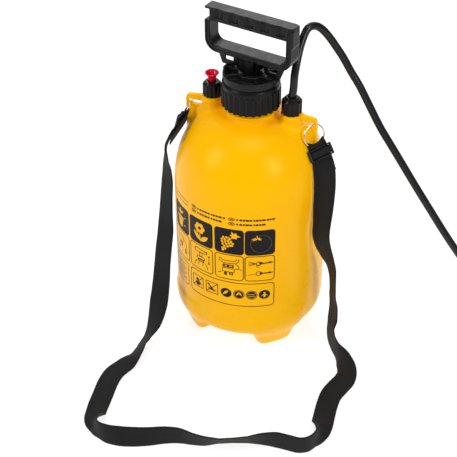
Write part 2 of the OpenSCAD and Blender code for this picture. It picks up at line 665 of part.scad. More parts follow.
module lance_nut() {
  color(BLK) gun() translate([133, 0, 0]) rotate([0, 90, 0]) difference() {
    union() {
      ribbed(10.5, 13, 12, 1.2);
      translate([0, 0, 13]) cylinder(r1 = 9, r2 = 6.5, h = 6);
    }
    translate([0, 0, -1]) cylinder(r = 7.1, h = 10);
    translate([0, 0, 5]) cylinder(r = 4.5, h = 20);
  }
}
module lance_tube() {
  color(BLK) gun() translate([139, 0, 0]) rotate([0, 90, 0]) difference() {
    cylinder(r = 4.5, h = lance_len + 12);
    translate([0, 0, -1]) cylinder(r = 3, h = lance_len + 20);
  }
}
module nozzle_body() {
  color(BLK) gun() translate([139 + lance_len, 0, 0]) rotate([0, 90, 0]) difference() {
    union() {
      ribbed(8, 16, 10, 1);
      translate([0, 0, 16]) cylinder(r = 5, h = 12);
    }
    translate([0, 0, -1]) cylinder(r = 4.5, h = 13);
    translate([0, 0, 10]) cylinder(r = 1.5, h = 30);
  }
}
module nozzle_seal() {
  color(GRY) gun() translate([139 + lance_len + 28.1, 0, 0]) rotate([0, 90, 0]) difference() {
    cylinder(r = 4.6, h = 1.4);
    translate([0, 0, -1]) cylinder(r = 1.6, h = 4);
  }
}
module nozzle_cap() {
  color(BLK) gun() translate([139 + lance_len + 17, 0, 0]) rotate([0, 90, 0]) difference() {
    union() {
      ribbed(8.5, 12, 14, 0.9);
      translate([0, 0, 12]) cylinder(r1 = 7.6, r2 = 5.5, h = 3);
    }
    translate([0, 0, -1]) cylinder(r = 5.06, h = 13.6);
    translate([0, 0, 5]) cylinder(r = 0.75, h = 20);
  }
}

tank_feet();
tank_wall();
tank_dome();
tank_shoulder();
tank_neck();
ear_left();
ear_right();
relief_nut();
relief_seal();
relief_body();
relief_plunger();
relief_pad();
relief_spring();
outlet_nut();
outlet_seal();
outlet_fitting();
dip_tube();
strainer();
cap_nut();
pump_head();
pump_cylinder();
neck_seal();
check_valve();
piston();
piston_ring();
pump_rod();
rod_clip();
pump_handle();
handle_pin();
ring_left();
ring_right();
slider_left();
slider_right();
strap();
hose_tube();
hose_coil();
hose_tail();
gun_shell_lower();
gun_shell_upper();
gun_screws();
gun_lever();
lever_pin();
gun_valve_body();
gun_valve_stem();
lever_spring();
stem_seal();
gun_hose_nut();
lance_nut();
lance_tube();
nozzle_body();
nozzle_seal();
nozzle_cap();
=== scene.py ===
import bpy
import bmesh
import numpy as np
from math import sin, cos, pi, sqrt, radians, ceil, floor
from mathutils import Vector, Matrix
from mathutils.geometry import tessellate_polygon


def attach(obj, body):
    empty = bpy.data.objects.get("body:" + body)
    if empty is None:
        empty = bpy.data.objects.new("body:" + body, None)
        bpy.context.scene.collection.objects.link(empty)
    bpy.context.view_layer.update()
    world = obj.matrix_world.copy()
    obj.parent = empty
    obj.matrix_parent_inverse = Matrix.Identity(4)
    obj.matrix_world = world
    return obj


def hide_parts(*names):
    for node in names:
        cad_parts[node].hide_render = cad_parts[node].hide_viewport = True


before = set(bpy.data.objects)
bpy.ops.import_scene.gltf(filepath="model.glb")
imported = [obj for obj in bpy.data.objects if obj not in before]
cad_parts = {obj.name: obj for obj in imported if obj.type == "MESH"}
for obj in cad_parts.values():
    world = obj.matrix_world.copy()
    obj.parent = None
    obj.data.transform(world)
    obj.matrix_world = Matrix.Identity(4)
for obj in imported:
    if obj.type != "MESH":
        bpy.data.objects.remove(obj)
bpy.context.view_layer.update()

scene = bpy.context.scene
scene.view_settings.view_transform = "Standard"

# ------------------------------------------------------------------ camera
CAM_AT = Vector((0.40759149, -1.07865958, 1.001409))
CAM_R = Vector((0.92885755, 0.37038253, -0.00635891))
CAM_U = Vector((-0.22005386, 0.56550464, 0.7948464))
CAM_F = Vector((-0.29799321, 0.73689977, -0.60677736))
cam_data = bpy.data.cameras.new("camera")
cam_data.lens = 93.654
cam_data.sensor_width = 36.0
cam_data.clip_end = 20.0
cam = bpy.data.objects.new("camera", cam_data)
scene.collection.objects.link(cam)
cam.matrix_world = Matrix(((CAM_R.x, CAM_U.x, -CAM_F.x, CAM_AT.x),
                           (CAM_R.y, CAM_U.y, -CAM_F.y, CAM_AT.y),
                           (CAM_R.z, CAM_U.z, -CAM_F.z, CAM_AT.z),
                           (0, 0, 0, 1)))
scene.camera = cam


# ------------------------------------------------------------------ materials
def new_mat(name):
    m = bpy.data.materials.new(name)
    m.use_nodes = True
    nt = m.node_tree
    nt.nodes.clear()
    out = nt.nodes.new("ShaderNodeOutputMaterial")
    b = nt.nodes.new("ShaderNodeBsdfPrincipled")
    nt.links.new(b.outputs["BSDF"], out.inputs["Surface"])
    return m, nt, b


def plastic(name, dark, light, rough, rough_var=0.06, grain=900.0, bump=0.05, bump_mm=0.05,
            spec=0.5, mottled=18.0, seam_y=False, coat=0.0, sss=0.0):
    """Moulded plastic: faint colour clouds, fine moulded grain, scuffs that change the gloss."""
    m, nt, b = new_mat(name)
    tc = nt.nodes.new("ShaderNodeTexCoord")
    clouds = nt.nodes.new("ShaderNodeTexNoise")
    clouds.inputs["Scale"].default_value = mottled
    clouds.inputs["Detail"].default_value = 3.0
    nt.links.new(tc.outputs["Object"], clouds.inputs["Vector"])
    ramp = nt.nodes.new("ShaderNodeValToRGB")
    ramp.color_ramp.elements[0].position = 0.30
    ramp.color_ramp.elements[1].position = 0.70
    ramp.color_ramp.elements[0].color = (*dark, 1)
    ramp.color_ramp.elements[1].color = (*light, 1)
    nt.links.new(clouds.outputs["Fac"], ramp.inputs["Fac"])
    nt.links.new(ramp.outputs["Color"], b.inputs["Base Color"])
    scuff = nt.nodes.new("ShaderNodeTexNoise")
    scuff.inputs["Scale"].default_value = 140.0
    scuff.inputs["Detail"].default_value = 4.0
    nt.links.new(tc.outputs["Object"], scuff.inputs["Vector"])
    rr = nt.nodes.new("ShaderNodeMapRange")
    rr.inputs["From Min"].default_value = 0.3
    rr.inputs["From Max"].default_value = 0.7
    rr.inputs["To Min"].default_value = rough - rough_var
    rr.inputs["To Max"].default_value = rough + rough_var
    nt.links.new(scuff.outputs["Fac"], rr.inputs["Value"])
    nt.links.new(rr.outputs["Result"], b.inputs["Roughness"])
    fine = nt.nodes.new("ShaderNodeTexNoise")
    fine.inputs["Scale"].default_value = grain
    fine.inputs["Detail"].default_value = 2.0
    nt.links.new(tc.outputs["Object"], fine.inputs["Vector"])
    height = fine.outputs["Fac"]
    if seam_y:
        # the mould's parting line runs up both sides in the plane of the ears
        sep = nt.nodes.new("ShaderNodeSeparateXYZ")
        nt.links.new(tc.outputs["Object"], sep.inputs["Vector"])
        ab = nt.nodes.new("ShaderNodeMath")
        ab.operation = "ABSOLUTE"
        nt.links.new(sep.outputs["Y"], ab.inputs[0])
        line = nt.nodes.new("ShaderNodeMapRange")
        line.interpolation_type = "SMOOTHSTEP"
        line.inputs["From Min"].default_value = 0.0
        line.inputs["From Max"].default_value = 0.0011
        line.inputs["To Min"].default_value = 6.0
        line.inputs["To Max"].default_value = 0.0
        nt.links.new(ab.outputs[0], line.inputs["Value"])
        add = nt.nodes.new("ShaderNodeMath")
        add.operation = "ADD"
        nt.links.new(height, add.inputs[0])
        nt.links.new(line.outputs["Result"], add.inputs[1])
        height = add.outputs[0]
    bp = nt.nodes.new("ShaderNodeBump")
    bp.inputs["Strength"].default_value = bump
    bp.inputs["Distance"].default_value = bump_mm * 0.001
    nt.links.new(height, bp.inputs["Height"])
    nt.links.new(bp.outputs["Normal"], b.inputs["Normal"])
    b.inputs["Specular IOR Level"].default_value = spec
    b.inputs["Coat Weight"].default_value = coat
    b.inputs["Coat Roughness"].default_value = 0.12
    if sss:
        b.inputs["Subsurface Weight"].default_value = sss
        b.inputs["Subsurface Radius"].default_value = (1.0, 0.35, 0.05)
        b.inputs["Subsurface Scale"].default_value = 0.006
    return m


def metal(name, col, rough, streak=(1, 1, 12)):
    m, nt, b = new_mat(name)
    tc = nt.nodes.new("ShaderNodeTexCoord")
    mp = nt.nodes.new("ShaderNodeMapping")
    mp.inputs["Scale"].default_value = streak
    nt.links.new(tc.outputs["Object"], mp.inputs["Vector"])
    n = nt.nodes.new("ShaderNodeTexNoise")
    n.inputs["Scale"].default_value = 160.0
    n.inputs["Detail"].default_value = 3.0
    nt.links.new(mp.outputs["Vector"], n.inputs["Vector"])
    rr = nt.nodes.new("ShaderNodeMapRange")
    rr.inputs["To Min"].default_value = rough * 0.7
    rr.inputs["To Max"].default_value = rough * 1.4
    nt.links.new(n.outputs["Fac"], rr.inputs["Value"])
    nt.links.new(rr.outputs["Result"], b.inputs["Roughness"])
    ramp = nt.nodes.new("ShaderNodeValToRGB")
    ramp.color_ramp.elements[0].color = (*[c * 0.82 for c in col], 1)
    ramp.color_ramp.elements[1].color = (*col, 1)
    nt.links.new(n.outputs["Fac"], ramp.inputs["Fac"])
    nt.links.new(ramp.outputs["Color"], b.inputs["Base Color"])
    b.inputs["Metallic"].default_value = 1.0
    bp = nt.nodes.new("ShaderNodeBump")
    bp.inputs["Strength"].default_value = 0.08
    bp.inputs["Distance"].default_value = 0.00005
    nt.links.new(n.outputs["Fac"], bp.inputs["Height"])
    nt.links.new(bp.outputs["Normal"], b.inputs["Normal"])
    return m


M_TANK = plastic("tank_yellow", (1.0, 0.478, 0.0), (1.0, 0.508, 0.0), 0.31, 0.05, 700.0, 0.10, 0.05,
                 spec=0.26, mottled=9.0, seam_y=True, sss=0.0)
for nd in M_TANK.node_tree.nodes:
    if nd.type == "BSDF_PRINCIPLED":
        nd.inputs["Specular Tint"].default_value = (1.0, 0.78, 0.22, 1)
M_BLACK = plastic("black_moulded", (0.0062, 0.0062, 0.007), (0.0115, 0.0115, 0.0128), 0.36, 0.07, 1400.0, 0.25, 0.05, spec=0.20)
M_NUT = plastic("nut_moulded", (0.0040, 0.0040, 0.0045), (0.0070, 0.0070, 0.0079), 0.32, 0.06, 1200.0, 0.2, 0.05, spec=0.15)
M_HANDLE = plastic("handle_moulded", (0.0040, 0.0040, 0.0044), (0.0070, 0.0070, 0.0077), 0.33, 0.06, 1600.0, 0.25, 0.05, spec=0.20)
M_SLIDER = plastic("slider_moulded", (0.0065, 0.0065, 0.0070), (0.011, 0.011, 0.012), 0.32, 0.06, 1500.0, 0.2, 0.04, spec=0.24)
M_GREY = plastic("grey_moulded", (0.20, 0.20, 0.205), (0.27, 0.27, 0.275), 0.45, 0.06, 1200.0, 0.2, 0.05)
M_CLEAR = plastic("natural_tube", (0.62, 0.63, 0.61), (0.74, 0.75, 0.73), 0.30, 0.05, 600.0, 0.1, 0.04)
M_RED = plastic("red_moulded", (0.78, 0.0, 0.028), (0.88, 0.003, 0.042), 0.20, 0.03, 900.0, 0.02, 0.02, spec=0.4, coat=0.15)
M_RUBBER = plastic("seal_rubber", (0.012, 0.012, 0.012), (0.022, 0.022, 0.022), 0.62, 0.06, 1800.0, 0.4, 0.05, spec=0.25)
M_HOSE = plastic("hose_rubber", (0.0050, 0.0050, 0.0056), (0.0085, 0.0085, 0.0094), 0.24, 0.05, 1000.0, 0.12, 0.04, spec=0.30)
M_LANCE = plastic("lance_moulded", (0.0065, 0.0065, 0.0072), (0.0115, 0.0115, 0.0128), 0.28, 0.05, 900.0, 0.15, 0.05, spec=0.28)
M_STEEL = metal("steel", (0.72, 0.72, 0.74), 0.28)
M_NICKEL = metal("nickel_wire", (0.80, 0.78, 0.74), 0.20)


def printed(name, dark, light, rough):
    m = plastic(name, dark, light, rough, 0.04, 2400.0, 0.12, 0.03, spec=0.12, mottled=260.0)
    return m


M_INK = printed("label_ink", (0.0085, 0.0062, 0.0068), (0.0150, 0.0110, 0.0115), 0.38)
M_LINE = printed("label_line_ink", (0.024, 0.0085, 0.0042), (0.038, 0.013, 0.006), 0.40)
M_SHOW = printed("label_yellow", (0.94, 0.45, 0.0), (1.0, 0.49, 0.0), 0.38)
M_THIN = printed("label_faint", (0.10, 0.075, 0.05), (0.16, 0.12, 0.07), 0.40)


def webbing_mat():
    """Woven polypropylene webbing: cross ribs with a herringbone of warp floats, fuzzy edges."""
    m, nt, b = new_mat("webbing_weave")
    uv = nt.nodes.new("ShaderNodeUVMap")
    uv.uv_map = "weave"
    sep = nt.nodes.new("ShaderNodeSeparateXYZ")
    nt.links.new(uv.outputs["UV"], sep.inputs["Vector"])

    def math(op, a, c=None):
        n = nt.nodes.new("ShaderNodeMath")
        n.operation = op
        for k, v in enumerate((a, c)):
            if v is None:
                continue
            if isinstance(v, (int, float)):
                n.inputs[k].default_value = v
            else:
                nt.links.new(v, n.inputs[k])
        return n.outputs[0]
    u, v = sep.outputs["X"], sep.outputs["Y"]          # millimetres across and along
    # warp yarns run along the strap, 1.04 mm apart, weft ribs 1.3 mm apart, offset on every second yarn
    yarn = math("MULTIPLY", u, 2 * pi / 1.04)
    half = math("MULTIPLY", math("FLOOR", math("MULTIPLY", u, 1 / 1.04)), pi)
    rib = math("ADD", math("MULTIPLY", v, 2 * pi / 2.6), half)
    hy = math("ABSOLUTE", math("SINE", math("MULTIPLY", yarn, 0.5)))
    hr = math("ABSOLUTE", math("SINE", math("MULTIPLY", rib, 0.5)))
    h = math("MULTIPLY", math("POWER", hy, 0.5), math("POWER", hr, 0.6))
    tc = nt.nodes.new("ShaderNodeTexCoord")
    nz = nt.nodes.new("ShaderNodeTexNoise")
    nz.inputs["Scale"].default_value = 2600.0
    nz.inputs["Detail"].default_value = 3.0
    nt.links.new(tc.outputs["Object"], nz.inputs["Vector"])
    big = nt.nodes.new("ShaderNodeTexNoise")
    big.inputs["Scale"].default_value = 34.0
    nt.links.new(tc.outputs["Object"], big.inputs["Vector"])
    hh = math("ADD", h, math("MULTIPLY", nz.outputs["Fac"], 0.35))
    bp = nt.nodes.new("ShaderNodeBump")
    bp.inputs["Strength"].default_value = 0.75
    bp.inputs["Distance"].default_value = 0.0003
    nt.links.new(hh, bp.inputs["Height"])
    nt.links.new(bp.outputs["Normal"], b.inputs["Normal"])
    # base colour: painted shade in the hollows between yarns and ribs (darker where the weave height h is low), times
    # large noise for random darker and lighter patches
    ramp = nt.nodes.new("ShaderNodeValToRGB")
    ramp.color_ramp.elements[0].position = 0.10
    ramp.color_ramp.elements[0].color = (0.0030, 0.0030, 0.0032, 1)
    ramp.color_ramp.elements[1].position = 0.95
    ramp.color_ramp.elements[1].color = (0.0125, 0.0125, 0.0131, 1)
    weave_shade_and_tone = math("MULTIPLY", h, math("ADD", math("MULTIPLY", big.outputs["Fac"], 0.7), 0.6))
    nt.links.new(weave_shade_and_tone, ramp.inputs["Fac"])
    nt.links.new(ramp.outputs["Color"], b.inputs["Base Color"])
    b.inputs["Roughness"].default_value = 0.66
    b.inputs["Specular IOR Level"].default_value = 0.18
    b.inputs["Sheen Weight"].default_value = 0.04
    b.inputs["Sheen Roughness"].default_value = 0.5
    return m


M_WEB = webbing_mat()


# ------------------------------------------------------------------ object helpers
def add_mesh(name, verts_mm, faces, mat, body, smooth=True):
    me = bpy.data.meshes.new(name)
    me.from_pydata((np.asarray(verts_mm, dtype=float) * 0.001).tolist(), [],
                   faces if isinstance(faces, list) else faces.tolist())
    me.materials.append(mat)
    if smooth:
        me.polygons.foreach_set("use_smooth", np.ones(len(me.polygons), dtype=bool))
    me.update()
    o = bpy.data.objects.new(name, me)
    scene.collection.objects.link(o)
    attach(o, body)
    return o


# signed distance helpers, in millimetres
def smin(a, b, k):
    h = np.clip(0.5 + 0.5 * (b - a) / k, 0.0, 1.0)
    return b * (1 - h) + a * h - k * h * (1 - h)


def smax(a, b, k):
    return -smin(-a, -b, k)


def cyl(X, Y, Z, x, y, r, z0, z1, rd=0.0):
    d = np.hypot(X - x, Y - y) - (r - rd)
    e = np.abs(Z - 0.5 * (z0 + z1)) - (0.5 * (z1 - z0) - rd)
    return np.minimum(np.maximum(d, e), 0) + np.hypot(np.maximum(d, 0), np.maximum(e, 0)) - rd


def box(X, Y, Z, lo, hi, rd=0.0):
    q = [np.abs(P - 0.5 * (lo[i] + hi[i])) - (0.5 * (hi[i] - lo[i]) - rd) for i, P in enumerate((X, Y, Z))]
    out = np.sqrt(np.maximum(q[0], 0) ** 2 + np.maximum(q[1], 0) ** 2 + np.maximum(q[2], 0) ** 2)
    return out + np.minimum(np.maximum(np.maximum(q[0], q[1]), q[2]), 0) - rd


def poly2(U, V, pts):
    pts = np.asarray(pts, dtype=float)
    d2 = None
    sgn = None
    n = len(pts)
    for i in range(n):
        a, b = pts[i], pts[i - 1]
        ex, ey = b[0] - a[0], b[1] - a[1]
        wx, wy = U - a[0], V - a[1]
        t = np.clip((wx * ex + wy * ey) / (ex * ex + ey * ey), 0, 1)
        bx, by = wx - ex * t, wy - ey * t
        dd = bx * bx + by * by
        c1 = V >= a[1]
        c2 = V < b[1]
        c3 = ex * wy > ey * wx
        flip = (c1 & c2 & c3) | (~c1 & ~c2 & ~c3)
        if d2 is None:
            d2 = dd
            sgn = np.where(flip, -1.0, 1.0)
        else:
            d2 = np.minimum(d2, dd)
            sgn = np.where(flip, -sgn, sgn)
    return sgn * np.sqrt(d2)


def thick(d2, W, w0, w1, rd):
    a = d2 + rd
    b = np.abs(W - 0.5 * (w0 + w1)) - 0.5 * (w1 - w0) + rd
    return np.minimum(np.maximum(a, b), 0) + np.hypot(np.maximum(a, 0), np.maximum(b, 0)) - rd


def rbox2(U, V, u0, u1, v0, v1, r_lo, r_hi):
    """2-D box whose lower and upper corners have their own radii"""
    cu_, cv = 0.5 * (u0 + u1), 0.5 * (v0 + v1)
    r = np.where(V < cv, r_lo, r_hi)
    qx = np.abs(U - cu_) - 0.5 * (u1 - u0) + r
    qy = np.abs(V - cv) - 0.5 * (v1 - v0) + r
    return np.minimum(np.maximum(qx, qy), 0) + np.hypot(np.maximum(qx, 0), np.maximum(qy, 0)) - r


class Revolve:
    """Distance to a revolved profile, looked up in a fine (radius, height) table."""
    def __init__(self, pts, step=0.25, pad=14.0):
        pts = np.asarray(pts, dtype=float)
        self.r0, self.z0 = 0.0, pts[:, 1].min() - pad
        r1, z1 = pts[:, 0].max() + pad * 3, pts[:, 1].max() + pad
        self.s = step
        nr, nz = int((r1 - self.r0) / step) + 2, int((z1 - self.z0) / step) + 2
        rr = (self.r0 + step * np.arange(nr)).reshape(-1, 1)
        zz = (self.z0 + step * np.arange(nz)).reshape(1, -1)
        mirrored = np.concatenate([pts, pts[::-1] * np.array([-1, 1])])
        keep = [mirrored[0]]
        for p in mirrored[1:]:
            if np.hypot(*(p - keep[-1])) > 1e-6:
                keep.append(p)
        if np.hypot(*(keep[-1] - keep[0])) < 1e-6:
            keep.pop()
        self.t = poly2(rr + 0 * zz, zz + 0 * rr, keep)

    def __call__(self, rho, Z):
        fr = np.clip((rho - self.r0) / self.s, 0, self.t.shape[0] - 1.001)
        fz = np.clip((Z - self.z0) / self.s, 0, self.t.shape[1] - 1.001)
        fr, fz = np.broadcast_arrays(fr, fz)
        i, j = fr.astype(np.int32), fz.astype(np.int32)
        a, b = fr - i, fz - j
        T = self.t
        return ((1 - a) * (1 - b) * T[i, j] + a * (1 - b) * T[i + 1, j]
                + (1 - a) * b * T[i, j + 1] + a * b * T[i + 1, j + 1])


CORN = [(a, b, c) for a in (0, 1) for b in (0, 1) for c in (0, 1)]
EDGE = [(i, j) for i in range(8) for j in range(i + 1, 8)
        if sum(abs(CORN[i][k] - CORN[j][k]) for k in range(3)) == 1]


def skin(f, lo, hi, h, newton=2):
    """Surface of f = 0 as smooth quads: one vertex in each cell that the surface crosses."""
    lo, hi = np.asarray(lo, float) - 1.6 * h, np.asarray(hi, float) + 1.6 * h
    n = np.ceil((hi - lo) / h).astype(int) + 1
    X = (lo[0] + h * np.arange(n[0])).reshape(-1, 1, 1)
    Y = (lo[1] + h * np.arange(n[1])).reshape(1, -1, 1)
    Z = (lo[2] + h * np.arange(n[2])).reshape(1, 1, -1)
    F = np.broadcast_to(f(X, Y, Z), tuple(n))
    S = F < 0
    c = np.zeros(tuple(n - 1), dtype=np.uint8)
    for a, b, d in CORN:
        c += S[a:n[0] - 1 + a, b:n[1] - 1 + b, d:n[2] - 1 + d]
    act = (c > 0) & (c < 8)
    idx = np.argwhere(act)
    vid = np.full(act.shape, -1, dtype=np.int64)
    vid[act] = np.arange(len(idx))
    V = np.stack([F[idx[:, 0] + a, idx[:, 1] + b, idx[:, 2] + d] for a, b, d in CORN], 1)
    P = np.zeros((len(idx), 3))
    cnt = np.zeros(len(idx))
    for i, j in EDGE:
        va, vb = V[:, i], V[:, j]
        m = (va < 0) != (vb < 0)
        t = np.where(m, va / np.where(m, va - vb, 1), 0)
        p = np.array(CORN[i]) + t[:, None] * (np.array(CORN[j]) - np.array(CORN[i]))
        P += m[:, None] * p
        cnt += m
    P = lo + h * (idx + P / cnt[:, None])
    base = P.copy()
    e = 0.25 * h
    for _ in range(newton):
        v = f(P[:, 0], P[:, 1], P[:, 2])
        g = np.stack([(f(P[:, 0] + e * (k == 0), P[:, 1] + e * (k == 1), P[:, 2] + e * (k == 2))
                       - f(P[:, 0] - e * (k == 0), P[:, 1] - e * (k == 1), P[:, 2] - e * (k == 2))) / (2 * e)
                      for k in range(3)], 1)
        gg = np.maximum((g ** 2).sum(1), 0.2)
        P = P - np.clip(v, -h, h)[:, None] * g / gg[:, None]
        P = base + np.clip(P - base, -0.6 * h, 0.6 * h)
    quads = []
    for ax in range(3):
        o1, o2 = (ax + 1) % 3, (ax + 2) % 3
        sl0, sl1 = [slice(None)] * 3, [slice(None)] * 3
        sl0[ax], sl1[ax] = slice(0, -1), slice(1, None)
        d = S[tuple(sl0)] != S[tuple(sl1)]
        inner = [slice(None)] * 3
        inner[o1] = inner[o2] = slice(1, -1)
        ed = np.argwhere(d[tuple(inner)])
        ed[:, o1] += 1
        ed[:, o2] += 1
        if not len(ed):
            continue
        ins = S[ed[:, 0], ed[:, 1], ed[:, 2]]

        def cell(a, b):
            q = ed.copy()
            q[:, o1] -= a
            q[:, o2] -= b
            return vid[q[:, 0], q[:, 1], q[:, 2]]
        q = np.stack([cell(1, 1), cell(0, 1), cell(0, 0), cell(1, 0)], 1)
        q[~ins] = q[~ins][:, ::-1]
        quads.append(q)
    return P, np.concatenate(quads)


def unit(v):
    v = np.asarray(v, dtype=float)
    return v / np.linalg.norm(v)


def perp(a, b):
    a, b = np.asarray(a, float), np.asarray(b, float)
    return unit(a - a.dot(b) * b)


# ------------------------------------------------------------------ hose (cord)
HOSE = [(48, 2, 318), (49.3, 2, 327), (49.5, 4, 344), (49.7, 10, 357), (50, 18, 370),
        (51.4, 26, 381), (54, 32, 388), (58.7, 38, 389), (64.7, 43, 385), (72.7, 46, 376),
        (82, 48, 363), (91, 49, 350), (100, 50, 334.5), (110.6, 50, 319), (120.4, 50, 302),
        (138.5, 50, 270), (152, 50, 250), (165, 50, 231), (186, 50, 200), (207, 50, 170),
        (226, 51, 142), (245, 53, 115), (262, 58, 90), (279, 66, 66), (296, 77, 46),
        (314, 90, 30), (332, 102, 19), (345, 108, 14.5), (352, 110, 13.5)]
TAIL = [(402, 60, 4.5), (402, 52, 4.5), (402, 40, 5), (402, 28, 6.6), (402, 16, 9),
        (402, 5, 11), (402, -6, 12.4), (402, -14, 12.5)]
coil = []
steps = 40
for i in range(1, steps):
    t = 2.25 * i / steps
    a = radians(90 - 360 * t)
    r = np.interp(t, [0, 0.62, 0.78, 1.28, 1.46, 2.25], [50, 50, 41, 40.5, 50, 50])
    z = np.interp(t, [0, 0.66, 0.78, 0.95, 2.25], [13.5, 13.5, 12.5, 4.5, 4.5])
    coil.append((352 + r * cos(a), 60 + r * sin(a), z))
ROUTE = HOSE + coil + TAIL


def smooth_path(pts, per):
    """Points of a smooth curve through pts (centripetal)."""
    P = [np.asarray(p, float) for p in pts]
    P = [2 * P[0] - P[1]] + P + [2 * P[-1] - P[-2]]
    out = []
    for i in range(1, len(P) - 2):
        p0, p1, p2, p3 = P[i - 1:i + 3]
        t0 = 0.0
        t1 = t0 + max(np.linalg.norm(p1 - p0), 1e-6) ** 0.5
        t2 = t1 + max(np.linalg.norm(p2 - p1), 1e-6) ** 0.5
        t3 = t2 + max(np.linalg.norm(p3 - p2), 1e-6) ** 0.5
        for k in range(per):
            t = t1 + (t2 - t1) * k / per
            a1 = (t1 - t) / (t1 - t0) * p0 + (t - t0) / (t1 - t0) * p1
            a2 = (t2 - t) / (t2 - t1) * p1 + (t - t1) / (t2 - t1) * p2
            a3 = (t3 - t) / (t3 - t2) * p2 + (t - t2) / (t3 - t2) * p3
            b1 = (t2 - t) / (t2 - t0) * a1 + (t - t0) / (t2 - t0) * a2
            b2 = (t3 - t) / (t3 - t1) * a2 + (t - t1) / (t3 - t1) * a3
            out.append((t2 - t) / (t2 - t1) * b1 + (t - t1) / (t2 - t1) * b2)
    out.append(P[-2])
    return out


line = smooth_path(ROUTE, 3)
cu = bpy.data.curves.new("hose", "CURVE")
cu.dimensions = "3D"
cu.bevel_depth = 0.0045
cu.bevel_resolution = 5
cu.use_fill_caps = True
sp = cu.splines.new("POLY")
sp.points.add(len(line) - 1)
for k, p in enumerate(line):
    sp.points[k].co = (p[0] * 0.001, p[1] * 0.001, p[2] * 0.001, 1.0)
sp.use_smooth = True
hose = bpy.data.objects.new("hose", cu)
cu.materials.append(M_HOSE)
scene.collection.objects.link(hose)
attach(hose, "root")
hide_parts("hose_tube", "hose_coil", "hose_tail")

# ------------------------------------------------------------------ tank
DZ, NZ = 184.0, 287.0


def dome_r(z, rn=27.0, rw=90.0, z1=NZ):
    t = min(max((z - DZ) / (z1 - DZ), 0.0), 1.0)
    return rn + (rw - rn) * max(0.0, 1 - t ** 2.55) ** (1 / 2.1)


prof = [(0, 20), (68, 20), (74, 20.5), (78, 21.6), (81.2, 23.0), (84, 24.9), (86.2, 27.1), (87.8, 29.9),
        (88.8, 33), (89.5, 37), (89.85, 41), (90, 46), (90, 120), (90, DZ)]
for i in range(1, 49):
    z = DZ + (NZ - DZ) * sin(i * pi / 96)
    prof.append((dome_r(z), z))
prof.append((0, NZ))
tank_body = Revolve(prof)
foot_sec = [(46, 24), (50, 0), (77, 0), (79.5, 3), (89.3, 38), (89.3, 50), (46, 50)]
trap = [(-20, -5), (20, -5), (31, 34), (31, 60), (-31, 60), (-31, 34)]


def ear_outline(s):
    return [(s * 30, 240), (s * 79.5, 252), (s * 79.5, 291), (s * 78.6, 294.4), (s * 76.6, 296.3), (s * 73.5, 297),
            (s * 58, 298.5), (s * 50, 297.0), (s * 40, 292), (s * 28, 284)]


def tank_f(X, Y, Z):
    rho = np.hypot(X, Y)
    body = tank_body(rho, Z)
    d = body
    # feet
    bb = np.abs(np.abs(X) - np.abs(Y)) / sqrt(2)
    foot = smax(poly2(rho, Z, foot_sec), poly2(bb, Z, trap), 8.0)
    foot = smax(foot, -Z + 0 * rho, 1.2)
    d = smin(d, foot, 9.0)
    d = np.minimum(d, cyl(X, Y, Z, 0, 0, 12.6, 0, 24, 0.8))
    # neck and its bead
    neck = cyl(X, Y, Z, 0, 0, 28.6, 262, 326, 0.8)
    d = smin(d, neck, 5.0)
    d = np.minimum(d, cyl(X, Y, Z, 0, 0, 31.5, 295, 297.5, 1.0))
    # ears in the plane of the mould
    ax = np.abs(X)
    core = thick(poly2(ax, Z, [(30, 240), (76.5, 253), (76.5, 274), (66, 281), (50, 288), (30, 283)]), Y, -1.5, 1.5, 0.6)
    d = smin(d, core, 8.0)
    # bosses
    for sx, top in ((-48, 299.5), (48, 296.5)):
        b1 = smin(cyl(X, Y, Z, sx, 2, 16, 255, 277, 3.0), cyl(X, Y, Z, sx, 2, 12, 255, top, 0.6), 6.0)
        b1 = np.minimum(b1, cyl(X, Y, Z, sx, 2, 8.5, 262, top + 8.5, 0.5))
        d = smin(d, b1, 7.0)
        d = smax(d, -cyl(X, Y, Z, sx, 2, 5.0, 250, 320, 0), 0.6)
    # hollow inside
    d = np.maximum(d, -(body + 3.0))
    d = smax(d, -cyl(X, Y, Z, 0, 0, 25.0, 268, 345, 0), 0.8)
    return d


P, Q = skin(tank_f, (-91, -91, 0), (91, 91, 326), 1.6)
tank = add_mesh("tank_body", P, Q, M_TANK, "root")
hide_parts("tank_feet", "tank_wall", "tank_dome", "tank_shoulder", "tank_neck")


def ear_f(X, Y, Z):
    """flat ear, crisp edges, with the slot for the ring; its root runs into the dome"""
    d2 = poly2(X, Z, ear_outline(1))
    d2 = np.maximum(d2, -rbox2(X, Z, 59, 76.4, 285, 290, 0.9, 0.9))
    d = thick(d2, Y, -2.0, 2.0, 0.55)
    # a raised bead follows the outer edge
    d = smin(d, np.maximum(thick(np.abs(poly2(X, Z, ear_outline(1)) + 1.2) - 0.7, Y, -2.3, 2.3, 0.3), 262 - Z), 0.5)
    body = tank_body(np.hypot(X, Y), Z)
    return np.maximum(d, -(body + 2.4))


for sd, nm in ((-1, "left"), (1, "right")):
    P, Q = skin(ear_f, (52, -2.4, 246), (79.6, 2.4, 298.8), 0.6)
    if sd < 0:
        P = P * np.array([-1, 1, 1])
        Q = Q[:, ::-1]
    o = add_mesh("ear_plate_" + nm, P, Q, M_TANK, "root")
    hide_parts("ear_" + nm)

